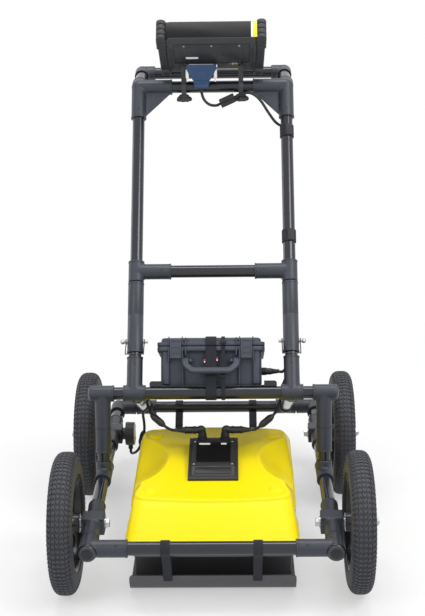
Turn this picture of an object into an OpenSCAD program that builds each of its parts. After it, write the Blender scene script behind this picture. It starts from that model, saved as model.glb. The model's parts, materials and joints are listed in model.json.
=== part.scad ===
// Push cart for ground survey: a tube frame on four tyred wheels, with a radar antenna
// slung between the axles, a battery case, a leaning handle and a tilting display.
// Millimetres. +Z is up, -Y is the way the cart is pushed, left and right are as seen from
// the front. The origin lies on the ground, under the middle of the whole cart.

/* [Wheels] */
// Outer diameter of a tyre
wheel_d = 312; // [290:1:330]
// Width of a tyre
tyre_w = 52; // [46:1:58]
// Diameter at which the tyre seats on its rim
rim_d = 216; // [200:1:230]
// Distance between the front and the rear axle
wheel_base = 480; // [470:1:520]
// Distance between the wheels' mid planes, left to right
wheel_track = 640; // [630:1:680]
// Diameter of the axle bolts
axle_d = 12; // [10:0.5:14]
// Length of a wheel hub
hub_len = 60; // [56:1:64]
// Spokes in a rim
spoke_count = 5; // [3:1:8]

/* [Frame] */
// Outside diameter of the frame tubes
tube_d = 30; // [26:0.5:32]
// Wall of the frame tubes
tube_wall = 2.5; // [1.5:0.1:4]
// Wall of the moulded fittings that the tubes go into
fitting_wall = 3.9; // [3:0.1:5]
// Antenna's front end to the front crossbar
front_reach = 35; // [30:1:45]
// Rear axle to the rear crossbar
rear_reach = 173; // [160:1:190]
// Height of the upper crossbar over the side rails
frame_rise = 189; // [175:1:210]
// Lean of the posts, back from upright
post_lean = 12.3; // [8:0.1:16]
// Foot of the posts, behind the middle of the wheelbase
post_foot_y = 5; // [0:1:15]

/* [Handle] */
// Lean of the handle, back from upright
handle_lean = 35; // [30:0.5:40]
// Upper crossbar to the top bar, along the handle
handle_len = 795; // [760:1:840]
// Distance between the two uprights
handle_w = 372; // [364:1:384]
// Upper crossbar to the middle bar, along the handle
mid_bar_at = 302; // [285:1:340]
// Top bar to the push bar behind it
push_reach = 135; // [125:1:150]
// Rise of the push bar's stubs over level
push_rise = 7; // [0:0.5:12]

/* [Battery case] */
// Width of the case over its rim
case_w = 248; // [236:1:258]
// Depth of the case over its rim
case_d = 190; // [180:1:205]
// Height of the case base
case_base_h = 93; // [85:1:105]
// Height of the case lid
case_lid_h = 21; // [18:1:28]
// Wall of the case
case_wall = 4; // [3:0.1:5]

/* [Antenna] */
// Length of the antenna shell
antenna_len = 600; // [580:1:610]
// Width of the antenna shell
antenna_w = 376; // [366:1:384]
// Height of the shell's deck over the ground
deck_z = 200; // [195:1:210]
// Height of the skid's underside over the ground
skid_z = 6; // [4:0.5:12]
// Thickness of the skid's sheet
skid_t = 3; // [2:0.1:4]

/* [Display] */
// Width of the display housing between its grips
display_w = 224; // [214:1:232]
// Height of the display housing
display_h = 148; // [142:1:160]
// Thickness of the display housing
display_t = 50; // [46:1:56]
// Lean of the display, forward from upright
display_lean = 50; // [44:0.5:56]

/* [Leads] */
// Diameter of the leads
lead_d = 7; // [5:0.5:7]

/* [Hidden] */
$fn = 64;
hull_fn = 32;
over = 1;
fit = 0.1;
run = 0.06;
face_gap = 0.3;
butt = 1;

// Tubes and fittings
tube_r = tube_d / 2;
bore_r = tube_r + fit;
sleeve_r = bore_r + fitting_wall;
stem_step = 0.2;
ball_step = 0.5;
stem_r = sleeve_r - stem_step;
ball_r = sleeve_r + ball_step;

// Wheels and axles
wheel_r = wheel_d / 2;
axle_r = axle_d / 2;
wheel_x = wheel_track / 2;
rim_r = rim_d / 2;
bead_inset = 4;
bead_w = tyre_w - 2 * bead_inset;
rim_ring_t = 10;
hub_r = 22;
hub_clear = 2;
spoke_root_w = 24;
spoke_tip_w = 30;
spoke_t = 16;
bearing_r = 14;
spoke_start = (bearing_r + hub_r) / 2;
bearing_w = 9;
spacer_len = 3.4;
spacer_wall = 5;
spacer_r = axle_r + spacer_wall;
block_w = 50;
block_l = 40;
block_over = 1;
block_h = 2 * (sleeve_r + block_over);
washer_t = 2.5;
washer_r = axle_r * 2;
head_h = 8;
head_r = 11;
nut_h = 9;
stud_len = 3;
rail_x = wheel_x - hub_len / 2 - 2 * face_gap - spacer_len - block_w / 2;
front_axle_y = -wheel_base / 2;
rear_axle_y = wheel_base / 2;
axle_z = wheel_r;
axle_tip = wheel_x + hub_len / 2 + face_gap + washer_t + nut_h + stud_len;

// Main lines of the frame, measured from the middle of the wheelbase
antenna_y = -20;
front_bar_y = antenna_y - antenna_len / 2 - front_reach;
rear_bar_y = rear_axle_y + rear_reach;
upper_bar_z = axle_z + frame_rise;
upper_bar_y = post_foot_y + frame_rise * tan(post_lean);
post_len = frame_rise / cos(post_lean);
brace_drop = atan2(frame_rise, rear_bar_y - upper_bar_y);
brace_len = norm([rear_bar_y - upper_bar_y, frame_rise]);
brace_start = tube_r / tan((90 + brace_drop - handle_lean) / 2) + butt;
handle_x = handle_w / 2;
top_bar_y = upper_bar_y + handle_len * sin(handle_lean);
top_bar_z = upper_bar_z + handle_len * cos(handle_lean);
push_bar_y = top_bar_y + push_reach * cos(push_rise);
push_bar_z = top_bar_z + push_reach * sin(push_rise);
front_cap_reach = 29;
front_end = min(front_axle_y - wheel_r, front_bar_y - front_cap_reach);
rear_end = push_bar_y + ball_r;
mid_y = -(front_end + rear_end) / 2;

// Fittings
cap_len = 8;
cap_dome = 6;
corner_sleeve_in = 83;
corner_sleeve_back = 36;
block_sleeve_front = 76;
block_sleeve_back = 77;
rail_tee_len = 80;
rail_tee_stem = 32;
tee_room = rail_x - handle_x;
base_tee_share = 0.68;
base_tee_len = tee_room * base_tee_share;
tee_gap = 23.5;
post_tee_in = tee_room - base_tee_len / 2 - tee_gap;
post_tee_out = 27;
post_dome = 8;
post_stem = 82;
post_coupler = 58;
rear_elbow_arm = 45;
brace_tee_len = 51;
brace_stem = 42;
base_stem = 87;
spigot_gap = 10;
sleeve_start = base_stem + spigot_gap;
mid_tee_low = 28.5;
mid_tee_high = 24.5;
sleeve_end = mid_bar_at - mid_tee_low;
mid_tee_arm = 84;
clamp_x = 72;
clamp_w = 12;
top_arm_gap = 25;
top_arm_in = handle_x - clamp_x - clamp_w / 2 - top_arm_gap;
top_arm_down = 87;
stub_socket = 30;
gusset_leg = 60;
gusset_t = 8;
push_elbow_arm = 34;
pin_at = sleeve_start + 29;
pin_r = 4;
pin_out = 11;
pin_ball_r = 6;
bail_wire_r = 1.3;
bail_drop = 36;
strap_t = 2;
cable_strap_w = 32;
cable_strap_up = 63;
cable_strap_down = 40;
cable_strap_at = [mid_bar_at + mid_tee_high + cable_strap_up,
  handle_len - top_arm_down - cable_strap_down];

// Case and tray, in a frame that leans with the braces: origin on the upper crossbar
tray_side = 21;
tray_w = handle_w - tube_d - 2 * tray_side;
tray_front = -8;
tray_l = 222;
tray_t = 2.5;
tray_z = tube_r + face_gap;
tray_ear_h = 10;
tray_ear_w = 30;
tray_ear_r = 6;
tray_lug_l = 20;
case_x = -5;
case_rim = 11;
case_rim_h = 9;
case_corner_r = 14;
case_seat = 0.2;
case_z = tray_z + tray_t + case_seat;
case_body_w = case_w - 2 * case_rim;
case_body_d = case_d - 2 * case_rim;
case_split_z = case_z + case_base_h;
seal_t = 1.7;
lid_z = case_split_z + seal_t + face_gap;
lid_top_z = lid_z + case_lid_h;
seal_inset = 0.5;
hinge_x = 72;
hinge_w = 16;
hinge_out = 5;
hinge_knuckle_r = 4.5;
hinge_pin_r = 2;
hinge_ear_t = 4;
hinge_y = case_d + hinge_out;
hinge_z = (case_split_z + lid_z) / 2;
latch_x = 84;
latch_w = 28;
latch_drop = 45;
latch_t = 5.5;
latch_pin_r = 2;
latch_knuckle_r = 4;
latch_ear_t = 3;
latch_pin_y = 3;
latch_pin_share = 0.65;
latch_pin_z = lid_z + case_lid_h * latch_pin_share;
handle_ear_x = 62;
handle_ear_t = 6;
handle_pin_r = 3;
handle_pin_y = 2;
handle_pin_z = case_z + 58;
handle_grip_y = -19;
handle_grip_z = case_z + 36;
handle_grip_r = 5.5;
handle_arm_r = 4.5;
handle_grip_share = 0.7;
strap_w = 26;
strap_gap = 0.4;
battery_w = 118;
battery_d = 120;
battery_h = 62;
battery_side = 2;
battery_front = 8;
plug_r = 8;
plug_len = 50;
plug_y = 45;
plug_z = case_z + 37;

// Odometer on the inner end of the rear left axle
odometer_r = 29;
odometer_t = 22;
odometer_neck_r = 15;
odometer_neck_len = 8;
odometer_shaft_in = 20;
odometer_boss_r = 6;
odometer_boss_len = 12;
odometer_face = rail_x - block_w / 2;

// Antenna
shell_rim_z = 122;
shell_rim_h = 14;
shell_rim_out = 3;
shell_wall = 4;
deck_len_share = 0.62;
deck_w_share = 0.93;
deck_bow = 16;
shell_corner_r = 34;
scoop_r = 137;
scoop_out = 38;
scoop_x = antenna_w / 2 + scoop_out;
scoop_up = 70;
boss_x = 141;
boss_y = 146;
boss_r = 13;
boss_h = 4;
base_side = 12;
base_end = 20;
base_wall = 6;
base_half_w = antenna_w / 2 - base_side;
base_foot_z = skid_z + skid_t;
base_recess = 92;
skid_side = 5;
skid_half_w = antenna_w / 2 - skid_side;
skid_end = 64;
skid_floor_half = antenna_len / 2 - skid_end;
lip_reach = 34;
lip_rise = 68;
lip_slot_turn = 60;
slot_y = skid_floor_half + lip_reach * sin(lip_slot_turn);
slot_z = lip_rise * (1 - cos(lip_slot_turn));
slot_w = 24;
slot_h = 18;
strap_x = 98;
hanging_strap_w = 20;
hanging_strap_tail = 8;
module_w = 115;
module_l = 200;
module_shift = 18;
module_y = antenna_y - module_shift;
module_front_h = 13;
module_back_h = 30;
sensor_plug_x = 27;
sensor_plug_r = 8;
sensor_plug_stem = 22;
sensor_plug_body = 42;
sensor_plug_tail = 20;
sensor_plug_set = 20;
sensor_plug_y = module_y + module_l / 2 - sensor_plug_set;
sensor_plug_z = deck_z + module_back_h + sensor_plug_stem;
element_t = 2;

// Display, in a frame that leans with it: origin on the top bar, +Y towards the operator
display_back = 30;
display_foot = 24;
display_r = 12;
bay_half_w = 65.4;
bay_h = 35;
bay_d = 20;
panel_w = 190;
panel_h = 56;
panel_t = 2.5;
panel_gap = 8;
panel_z = display_foot + bay_h + panel_gap + panel_h / 2;
display_mid_z = display_foot + display_h / 2;
grip_w = 22;
grip_over = 8;
grip_front = 4;
screen_t = 3;
screen_margin = 14;
hood_x = -27;
hood_top_w = 76;
hood_end_w = 36;
hood_t = 17;
hood_len = 60;
hood_lean = 9.5;
hood_shoulder_share = 0.2;
clamp_r = 20;
clamp_pad_h = 34;
clamp_pad_t = 8;
knob_r = 20;
knob_t = 13;
knob_lobes = 7;
knob_lobe_r = 5.2;
knob_stud_r = 3;
knob_stud_len = 6;
knob_forward = 14;
knob_drop = 20.5;

// Leads: hand-placed routes, measured from the middle of the wheelbase
lead_r = lead_d / 2;
lead_sides = 8;
ferrite_r = 8.5;
ferrite_lip = 1.2;
ferrite_end_r = lead_r + ferrite_lip;
ferrite_cover = 3;
lead_back = 24;
clip_at = 79.5;
clip_w = 12;
clip_reach = 29;
clip_drop = 16;
clip_lead_x = 23;
clip_lead_z = -10.8;
splitter_low = 165;
splitter_len = 40;
splitter_w = 22;
splitter_t = 9;
lead_low_at = splitter_low + splitter_len / 2;
lead_top_at = 690;
display_route_a = [[-27, 466, 997], [-27, 465, 988], [-21, 464, 970], [-8, 462, 958], [8, 462, 955],
  [22, 463, 960]];
display_route_b = [[54, 464, 974], [66, 465, 980], [82, 467, 985], [100, 468, 983], [120, 467, 967],
  [142, 463, 934], [158, 464, 912], [172, 464, 902], [186, 462, 896]];
power_route = [[158.3, 111, 373], [166, 111, 373], [179, 118, 386], [189, 134, 416], [190.5, 150, 448],
  [190.5, 164, 471]];
sensor_route_right_low = [[89.3, 42, 252], [97, 42, 252], [104, 44, 255], [112, 47, 260]];
sensor_route_right_high = [[139, 56, 280], [148, 66, 288], [156, 82, 298], [161, 100, 312]];
frame_route_right = [[161, 100, 312], [165, 110, 334], [173, 117, 354], [179, 128, 388],
  [180.5, 141, 425], [181.5, 153, 452], [181.5, 164, 471]];
sensor_route_left_low = [[-89.3, 42, 252], [-97, 42, 252], [-108, 45, 255], [-120, 50, 262]];
sensor_route_left_high = [[-147, 62, 282], [-154, 74, 291], [-160, 87, 303], [-163, 100, 305],
  [-163, 112, 299]];
odometer_route_low = [[-217, 240, 114.7], [-217, 240, 106], [-216, 248, 98], [-212, 258, 93],
  [-206, 268, 92], [-200, 277, 96], [-194, 285, 107]];
odometer_route_high = [[-186, 288, 138], [-184, 286, 152], [-184, 280, 172], [-185, 272, 190],
  [-183, 262, 206], [-173, 244, 222], [-165, 222, 244], [-163, 180, 265], [-163, 140, 284.5],
  [-163, 112, 299]];

// Shared shapes

module from_middle() {
  translate([0, mid_y, 0]) children();
}

module both_sides() {
  for (side = [0, 1]) mirror([side, 0, 0]) children();
}

module lean_back(angle) {
  rotate([-angle, 0, 0]) children();
}

module along_x() {
  rotate([0, 90, 0]) children();
}

module at_upper_bar() {
  translate([0, upper_bar_y, upper_bar_z]) children();
}

module at_top_bar() {
  translate([0, top_bar_y, top_bar_z]) children();
}

module handle_frame() {
  at_upper_bar() lean_back(handle_lean) children();
}

module case_frame() {
  at_upper_bar() rotate([-brace_drop, 0, 0]) children();
}

module display_frame() {
  at_top_bar() rotate([display_lean, 0, 0]) children();
}

// A tube from one height to another on the Z axis
module tube(low, high) {
  difference() {
    translate([0, 0, low]) cylinder(r = tube_r, h = high - low);
    translate([0, 0, low - over]) cylinder(r = tube_r - tube_wall, h = high - low + 2 * over);
  }
}

module rod(radius, low, high) {
  translate([0, 0, low]) cylinder(r = radius, h = high - low);
}

// A rod whose upper end is a shallow dome
module domed_rod(radius, low, high, dome) {
  rotate_extrude() polygon(concat([[0, low], [radius, low]],
    [for (t = [0 : 15 : 75]) [radius * cos(t), high + dome * sin(t)]], [[0, high + dome]]));
}

module rounded_plate(w, d, h, r) {
  linear_extrude(h) {
    square([w - 2 * r, d], center = true);
    square([w, d - 2 * r], center = true);
    for (sx = [-1, 1], sy = [-1, 1]) translate([sx * (w / 2 - r), sy * (d / 2 - r)]) circle(r);
  }
}

// A strip of one thickness along a line of points in the Y-Z plane, centred on x = 0
module strip(points, thickness, width) {
  count = len(points);
  ahead = [for (i = [0 : count - 1]) points[min(i + 1, count - 1)] - points[max(i - 1, 0)]];
  side = [for (d = ahead) [-d[1], d[0]] / norm(d) * thickness];
  loop = concat(points, [for (i = [count - 1 : -1 : 0]) points[i] + side[i]]);
  rotate([90, 0, 90]) translate([0, 0, -width / 2]) linear_extrude(width) polygon(loop);
}

// A round lead swept along its route, with square ends
function lead_dir(route, i) =
  let (a = route[max(i - 1, 0)], b = route[min(i + 1, len(route) - 1)]) (b - a) / norm(b - a);
function lead_ring(route, i) =
  let (d = lead_dir(route, i),
       u = cross(d, abs(d[2]) > 0.9 ? [0, 1, 0] : [0, 0, 1]),
       p = u / norm(u),
       q = cross(d, p))
  [for (k = [0 : lead_sides - 1]) let (t = 360 * k / lead_sides)
    route[i] + lead_r * (cos(t) * p + sin(t) * q)];
module lead(route) {
  count = len(route);
  rings = [for (i = [0 : count - 1]) each lead_ring(route, i)];
  sides = [for (i = [0 : count - 2], k = [0 : lead_sides - 1])
    let (n = (k + 1) % lead_sides, a = i * lead_sides, b = a + lead_sides)
    each [[a + k, b + n, a + n], [a + k, b + k, b + n]]];
  first_end = [for (k = [1 : lead_sides - 2]) [0, k, k + 1]];
  last = (count - 1) * lead_sides;
  last_end = [for (k = [1 : lead_sides - 2]) [last, last + k + 1, last + k]];
  polyhedron(rings, concat(sides, first_end, last_end));
}

// A moulded ferrite bead that covers the gap between two points of a lead
module ferrite(a, b) {
  d = b - a;
  length = norm(d) + 2 * ferrite_cover;
  translate(a) rotate([0, acos(d[2] / norm(d)), atan2(d[1], d[0])]) translate([0, 0, -ferrite_cover])
    rotate_extrude() polygon([[0, 0], [ferrite_end_r, 0], [ferrite_r, length / 5],
      [ferrite_r, length * 4 / 5], [ferrite_end_r, length], [0, length]]);
}

function upright_point(at, back) = [handle_x,
  upper_bar_y + at * sin(handle_lean) + back * cos(handle_lean),
  upper_bar_z + at * cos(handle_lean) - back * sin(handle_lean)];

// Frame tubes

module rail_tubes() color("black") from_middle() both_sides()
  difference() {
    translate([rail_x, 0, axle_z]) rotate([-90, 0, 0])
      tube(front_bar_y - front_cap_reach + cap_len, rear_bar_y - tube_r - butt);
    for (y = [front_axle_y, rear_axle_y]) translate([rail_x, y, axle_z]) along_x()
      rod(axle_r + fit, -tube_d, tube_d);
  }

module cross_tubes() color("black") from_middle() {
  inner = rail_x - tube_r - butt;
  translate([0, front_bar_y, axle_z]) along_x() tube(-inner, inner);
  translate([0, rear_bar_y, axle_z]) along_x() tube(-rail_x, rail_x);
  at_upper_bar() along_x() tube(-rail_x - post_tee_out / 2, rail_x + post_tee_out / 2);
}

module strut_tubes() color("black") from_middle() both_sides() {
  translate([rail_x, post_foot_y, axle_z]) lean_back(post_lean)
    tube(tube_r + butt + tube_r * tan(post_lean), post_len - tube_r - butt);
  translate([handle_x, 0, 0]) at_upper_bar() lean_back(90 + brace_drop)
    tube(brace_start, brace_len - tube_r - butt);
}

// Frame fittings

module front_corner_fittings() color("dimgray") from_middle() both_sides() {
  translate([rail_x, front_bar_y, axle_z]) {
    difference() {
      union() {
        rotate([-90, 0, 0]) rod(sleeve_r, cap_len - front_cap_reach, corner_sleeve_back);
        rotate([0, -90, 0]) rod(stem_r, 0, corner_sleeve_in);
      }
      rotate([-90, 0, 0]) rod(bore_r, -front_cap_reach - over, corner_sleeve_back + over);
      rotate([0, -90, 0]) rod(bore_r, tube_r, corner_sleeve_in + over);
    }
    rotate([90, 0, 0]) domed_rod(sleeve_r, front_cap_reach - cap_len, front_cap_reach - cap_dome, cap_dome);
  }
}

module axle_blocks() color("dimgray") from_middle() both_sides()
  for (y = [front_axle_y, rear_axle_y]) translate([rail_x, y, axle_z])
    difference() {
      union() {
        cube([block_w, block_l, block_h], center = true);
        rotate([-90, 0, 0]) rod(sleeve_r, -block_sleeve_front, block_sleeve_back);
      }
      rotate([-90, 0, 0]) rod(bore_r, -block_sleeve_front - over, block_sleeve_back + over);
      along_x() rod(axle_r + run, -block_w, block_w);
    }

// What sits on an axle either side of its wheel, with the wheel on the +X side
module on_axle(radius, low, high, sides = 0) {
  along_x() difference() {
    translate([0, 0, low]) cylinder(r = radius, h = high - low, $fn = sides > 0 ? sides : $fn);
    rod(axle_r + fit, low - over, high + over);
  }
}

module axle_spacer() {
  hub_in = wheel_x - hub_len / 2 - face_gap;
  on_axle(spacer_r, hub_in - spacer_len, hub_in);
}

module axle_nut() {
  hub_out = wheel_x + hub_len / 2 + face_gap;
  on_axle(washer_r, hub_out, hub_out + washer_t);
  on_axle(head_r, hub_out + washer_t, hub_out + washer_t + nut_h, 6);
}

module axle_bolt() {
  head_in = rail_x - block_w / 2 - washer_t;
  along_x() {
    rod(axle_r, head_in - head_h / 2, axle_tip);
    translate([0, 0, head_in - head_h]) cylinder(r = head_r, h = head_h, $fn = 6);
  }
  on_axle(washer_r, head_in, head_in + washer_t);
}

module axle_bolts() color("silver") from_middle()
  for (side = [0, 1], y = [front_axle_y, rear_axle_y])
    mirror([side, 0, 0]) translate([0, y, axle_z]) {
      axle_spacer();
      if (side == 0 || y == front_axle_y) {
        axle_bolt();
        axle_nut();
      }
    }

module wheel_bearings() color("silver") from_middle()
  for (side = [0, 1], y = [front_axle_y, rear_axle_y], end = [0, 1])
    if (side == 0 || y == front_axle_y)
      mirror([side, 0, 0]) translate([wheel_x, y, axle_z]) mirror([end, 0, 0]) along_x()
        difference() {
          rod(bearing_r, hub_len / 2 - bearing_w, hub_len / 2);
          rod(axle_r + fit, 0, hub_len);
        }

module post_fittings() color("dimgray") from_middle() both_sides() {
  translate([rail_x, post_foot_y, axle_z]) difference() {
    union() {
      rotate([-90, 0, 0]) rod(sleeve_r, -rail_tee_len / 2, rail_tee_len / 2);
      lean_back(post_lean) rod(stem_r, 0, rail_tee_stem);
    }
    rotate([-90, 0, 0]) rod(bore_r, -rail_tee_len, rail_tee_len);
    lean_back(post_lean) rod(bore_r, tube_r, rail_tee_stem + over);
  }
  translate([rail_x, 0, 0]) at_upper_bar() {
    difference() {
      union() {
        along_x() domed_rod(sleeve_r, -post_tee_in, post_tee_out, post_dome);
        lean_back(180 + post_lean) rod(stem_r, 0, post_stem);
      }
      along_x() rod(bore_r, -post_tee_in - over, post_tee_out / 2 + butt);
      lean_back(180 + post_lean) rod(bore_r, tube_r, post_stem + over);
    }
    lean_back(180 + post_lean) difference() {
      rod(stem_r, post_stem + butt, post_stem + post_coupler);
      rod(bore_r, post_stem, post_stem + post_coupler + over);
    }
  }
}

module rear_fittings() color("dimgray") from_middle() both_sides() {
  translate([rail_x, rear_bar_y, axle_z]) difference() {
    union() {
      sphere(ball_r);
      rotate([90, 0, 0]) rod(sleeve_r, 0, rear_elbow_arm);
      rotate([0, -90, 0]) rod(stem_r, 0, rear_elbow_arm);
    }
    rotate([90, 0, 0]) rod(bore_r, tube_r + butt / 2, rear_elbow_arm + over);
    rotate([0, -90, 0]) rod(bore_r, -butt, rear_elbow_arm + over);
  }
  translate([handle_x, rear_bar_y, axle_z]) difference() {
    union() {
      along_x() rod(sleeve_r, -brace_tee_len / 2, brace_tee_len / 2);
      lean_back(brace_drop - 90) rod(stem_r, 0, brace_stem);
    }
    along_x() rod(bore_r, -brace_tee_len, brace_tee_len);
    lean_back(brace_drop - 90) rod(bore_r, tube_r, brace_stem + over);
  }
}

// Handle

module handle_base_tees() color("dimgray") from_middle() both_sides()
  translate([handle_x, 0, 0]) at_upper_bar() difference() {
    union() {
      along_x() rod(sleeve_r, -base_tee_len / 2, base_tee_len / 2);
      lean_back(handle_lean) rod(stem_r, 0, base_stem);
      lean_back(90 + brace_drop) rod(stem_r - stem_step, 0, brace_stem);
    }
    along_x() rod(bore_r, -base_tee_len, base_tee_len);
    lean_back(handle_lean) rod(bore_r, brace_start - butt / 2, base_stem + over);
    lean_back(90 + brace_drop) rod(bore_r, brace_start - butt / 2, brace_stem + over);
  }

module pin_hole(radius) {
  translate([0, 0, pin_at]) along_x() rod(radius, -tube_d, tube_d);
}

module handle_sleeves() color("dimgray") from_middle() both_sides()
  translate([handle_x, 0, 0]) handle_frame() difference() {
    rod(sleeve_r, sleeve_start, sleeve_end);
    rod(bore_r, sleeve_start - over, sleeve_end + over);
    pin_hole(pin_r + fit);
  }

module upright_tubes() color("black") from_middle() both_sides()
  translate([handle_x, 0, 0]) handle_frame() {
    split = (sleeve_start + sleeve_end) / 2;
    difference() {
      tube(brace_start, split);
      pin_hole(pin_r + fit);
    }
    tube(split + butt, handle_len - tube_r - butt);
  }

module handle_mid_tees() color("dimgray") from_middle() both_sides()
  translate([handle_x, 0, 0]) handle_frame() translate([0, 0, mid_bar_at]) difference() {
    union() {
      rod(sleeve_r, butt - mid_tee_low, mid_tee_high);
      rotate([0, -90, 0]) rod(stem_r, 0, mid_tee_arm);
    }
    rod(bore_r, -mid_tee_low, mid_tee_high + over);
    rotate([0, -90, 0]) rod(bore_r, tube_r, mid_tee_arm + over);
  }

module handle_cross_tubes() color("black") from_middle() {
  inner = handle_x - tube_r - butt;
  handle_frame() translate([0, 0, mid_bar_at]) along_x() tube(-inner, inner);
  at_top_bar() along_x() tube(-handle_x, handle_x);
}

module handle_corner_fittings() color("dimgray") from_middle() both_sides()
  translate([handle_x, 0, 0]) at_top_bar() difference() {
    union() {
      sphere(ball_r);
      lean_back(180 + handle_lean) rod(stem_r, 0, top_arm_down);
      rotate([0, -90, 0]) rod(sleeve_r, 0, top_arm_in);
      lean_back(90 - push_rise) rod(stem_r, 0, stub_socket);
      lean_back(180 + handle_lean) rotate([90, 0, 0]) translate([0, 0, -gusset_t / 2])
        linear_extrude(gusset_t) polygon([[-stem_r, tube_r], [-tube_r, sleeve_r],
          [-tube_r, sleeve_r + gusset_leg], [-sleeve_r, sleeve_r + gusset_leg],
          [-sleeve_r - gusset_leg, sleeve_r], [-sleeve_r - gusset_leg, tube_r]]);
    }
    lean_back(180 + handle_lean) rod(bore_r, tube_r + butt / 2, top_arm_down + over);
    rotate([0, -90, 0]) rod(bore_r, -butt, top_arm_in + over);
    lean_back(90 - push_rise) rod(bore_r, tube_r + butt / 2, stub_socket + over);
  }

module push_bar_tubes() color("black") from_middle() {
  both_sides() translate([handle_x, 0, 0]) at_top_bar() lean_back(90 - push_rise)
    tube(tube_r + butt, push_reach - tube_r - butt);
  translate([0, push_bar_y, push_bar_z]) along_x() tube(-handle_x, handle_x);
}

module push_bar_elbows() color("dimgray") from_middle() both_sides()
  translate([handle_x, push_bar_y, push_bar_z]) difference() {
    union() {
      sphere(ball_r);
      lean_back(270 - push_rise) rod(stem_r, 0, push_elbow_arm);
      rotate([0, -90, 0]) rod(sleeve_r, 0, push_elbow_arm);
    }
    lean_back(270 - push_rise) rod(bore_r, tube_r + butt / 2, push_elbow_arm + over);
    rotate([0, -90, 0]) rod(bore_r, -butt, push_elbow_arm + over);
  }

module lock_pins() color("silver") from_middle() both_sides()
  translate([handle_x, 0, 0]) handle_frame() translate([0, 0, pin_at]) along_x() {
    rod(pin_r, -sleeve_r - pin_out, sleeve_r + pin_out);
    translate([0, 0, sleeve_r + pin_out]) sphere(pin_ball_r);
  }

// A wire bail that hangs from the ends of its lock pin, round the front of the sleeve
module bail() color("silver") {
  leg_x = sleeve_r + 2 * bail_wire_r;
  front = sleeve_r + 3 * bail_wire_r;
  reach = norm([front, bail_drop]);
  swing = atan2(front, bail_drop);
  handle_frame() translate([0, 0, pin_at]) rotate([-swing, 0, 0]) {
    for (side = [-1, 1]) translate([side * leg_x, 0, 0]) {
      rod(bail_wire_r, -reach, -pin_r - bail_wire_r);
      along_x() difference() {
        rod(pin_r + 2 * bail_wire_r, -bail_wire_r, bail_wire_r);
        rod(pin_r + run, -pin_out, pin_out);
      }
    }
    translate([0, 0, -reach]) along_x() rod(bail_wire_r, -leg_x, leg_x);
    for (side = [-1, 1]) translate([side * leg_x, 0, -reach]) sphere(bail_wire_r * 1.05);
  }
}

module bail_left() from_middle() translate([-handle_x, 0, 0]) bail();
module bail_right() from_middle() translate([handle_x, 0, 0]) bail();

// A clip that ties the left lead to its brace
module lead_clip() {
  case_frame() translate([-handle_x, clip_at, 0]) difference() {
    union() {
      rotate([90, 0, 0]) rod(tube_r + face_gap + strap_t, -clip_w / 2, clip_w / 2);
      translate([0, -clip_w / 2, -clip_drop]) cube([clip_reach, clip_w, clip_w]);
    }
    rotate([90, 0, 0]) rod(tube_r + face_gap, -clip_w, clip_w);
    translate([clip_lead_x, 0, clip_lead_z]) rotate([90, 0, 0]) rod(lead_r + face_gap, -clip_w, clip_w);
  }
}

module strap_outline(gap) {
  hull() {
    circle(tube_r + gap, $fn = hull_fn);
    translate([0, lead_back]) circle(lead_r + gap, $fn = hull_fn);
  }
}

module cable_straps() color("black") from_middle() {
  translate([handle_x, 0, 0]) handle_frame() for (at = cable_strap_at)
    translate([0, 0, at - cable_strap_w / 2]) linear_extrude(cable_strap_w) difference() {
      strap_outline(2 * face_gap + strap_t);
      strap_outline(2 * face_gap);
    }
  lead_clip();
}

// Wheels

function tyre_profile() = [for (i = [0 : 24]) let (t = 180 * i / 24, c = cos(t), s = sin(t))
  [rim_r + (wheel_r - rim_r) * pow(s, 0.7), (c < 0 ? -1 : 1) * tyre_w / 2 * pow(abs(c), 0.6)]];

module tyre(side, y) color("dimgray") from_middle()
  translate([side * wheel_x, y, axle_z]) along_x() rotate_extrude($fn = 96) polygon(tyre_profile());

module rim(side, y) color("black") from_middle()
  translate([side * wheel_x, y, axle_z]) along_x() difference() {
    union() {
      rotate_extrude($fn = 96) polygon([[rim_r - fit, -bead_w / 2], [rim_r - fit, bead_w / 2],
        [rim_r - rim_ring_t, bead_w / 2], [rim_r - rim_ring_t * 1.4, 0], [rim_r - rim_ring_t, -bead_w / 2]]);
      rod(hub_r, -hub_len / 2, hub_len / 2);
      for (i = [0 : spoke_count - 1]) rotate([0, 0, 360 * i / spoke_count])
        translate([0, 0, -spoke_t / 2]) linear_extrude(spoke_t) polygon([[spoke_start, -spoke_root_w / 2],
          [rim_r - rim_ring_t, -spoke_tip_w / 2], [rim_r - rim_ring_t, spoke_tip_w / 2],
          [spoke_start, spoke_root_w / 2]]);
    }
    rod(axle_r + hub_clear, -hub_len, hub_len);
    for (end = [-1, 1]) translate([0, 0, end * (hub_len / 2 - bearing_w / 2 + over / 2)])
      cylinder(r = bearing_r + run, h = bearing_w + over, center = true);
  }

module tyre_front_left() tyre(-1, front_axle_y);
module tyre_front_right() tyre(1, front_axle_y);
module tyre_rear_left() tyre(-1, rear_axle_y);
module tyre_rear_right() tyre(1, rear_axle_y);
module rim_front_left() rim(-1, front_axle_y);
module rim_front_right() rim(1, front_axle_y);
module rim_rear_left() rim(-1, rear_axle_y);
module rim_rear_right() rim(1, rear_axle_y);

// The rear left wheel is fixed to its axle, which turns in the block and drives the odometer
module odometer_axle() color("silver") from_middle()
  mirror([1, 0, 0]) translate([0, rear_axle_y, axle_z]) {
    along_x() {
      rod(axle_r, odometer_face - odometer_shaft_in, axle_tip);
      for (end = [0, 1]) translate([0, 0, wheel_x + end * (hub_len - bearing_w) - hub_len / 2])
        cylinder(r = bearing_r, h = bearing_w);
    }
    axle_nut();
  }

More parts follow.
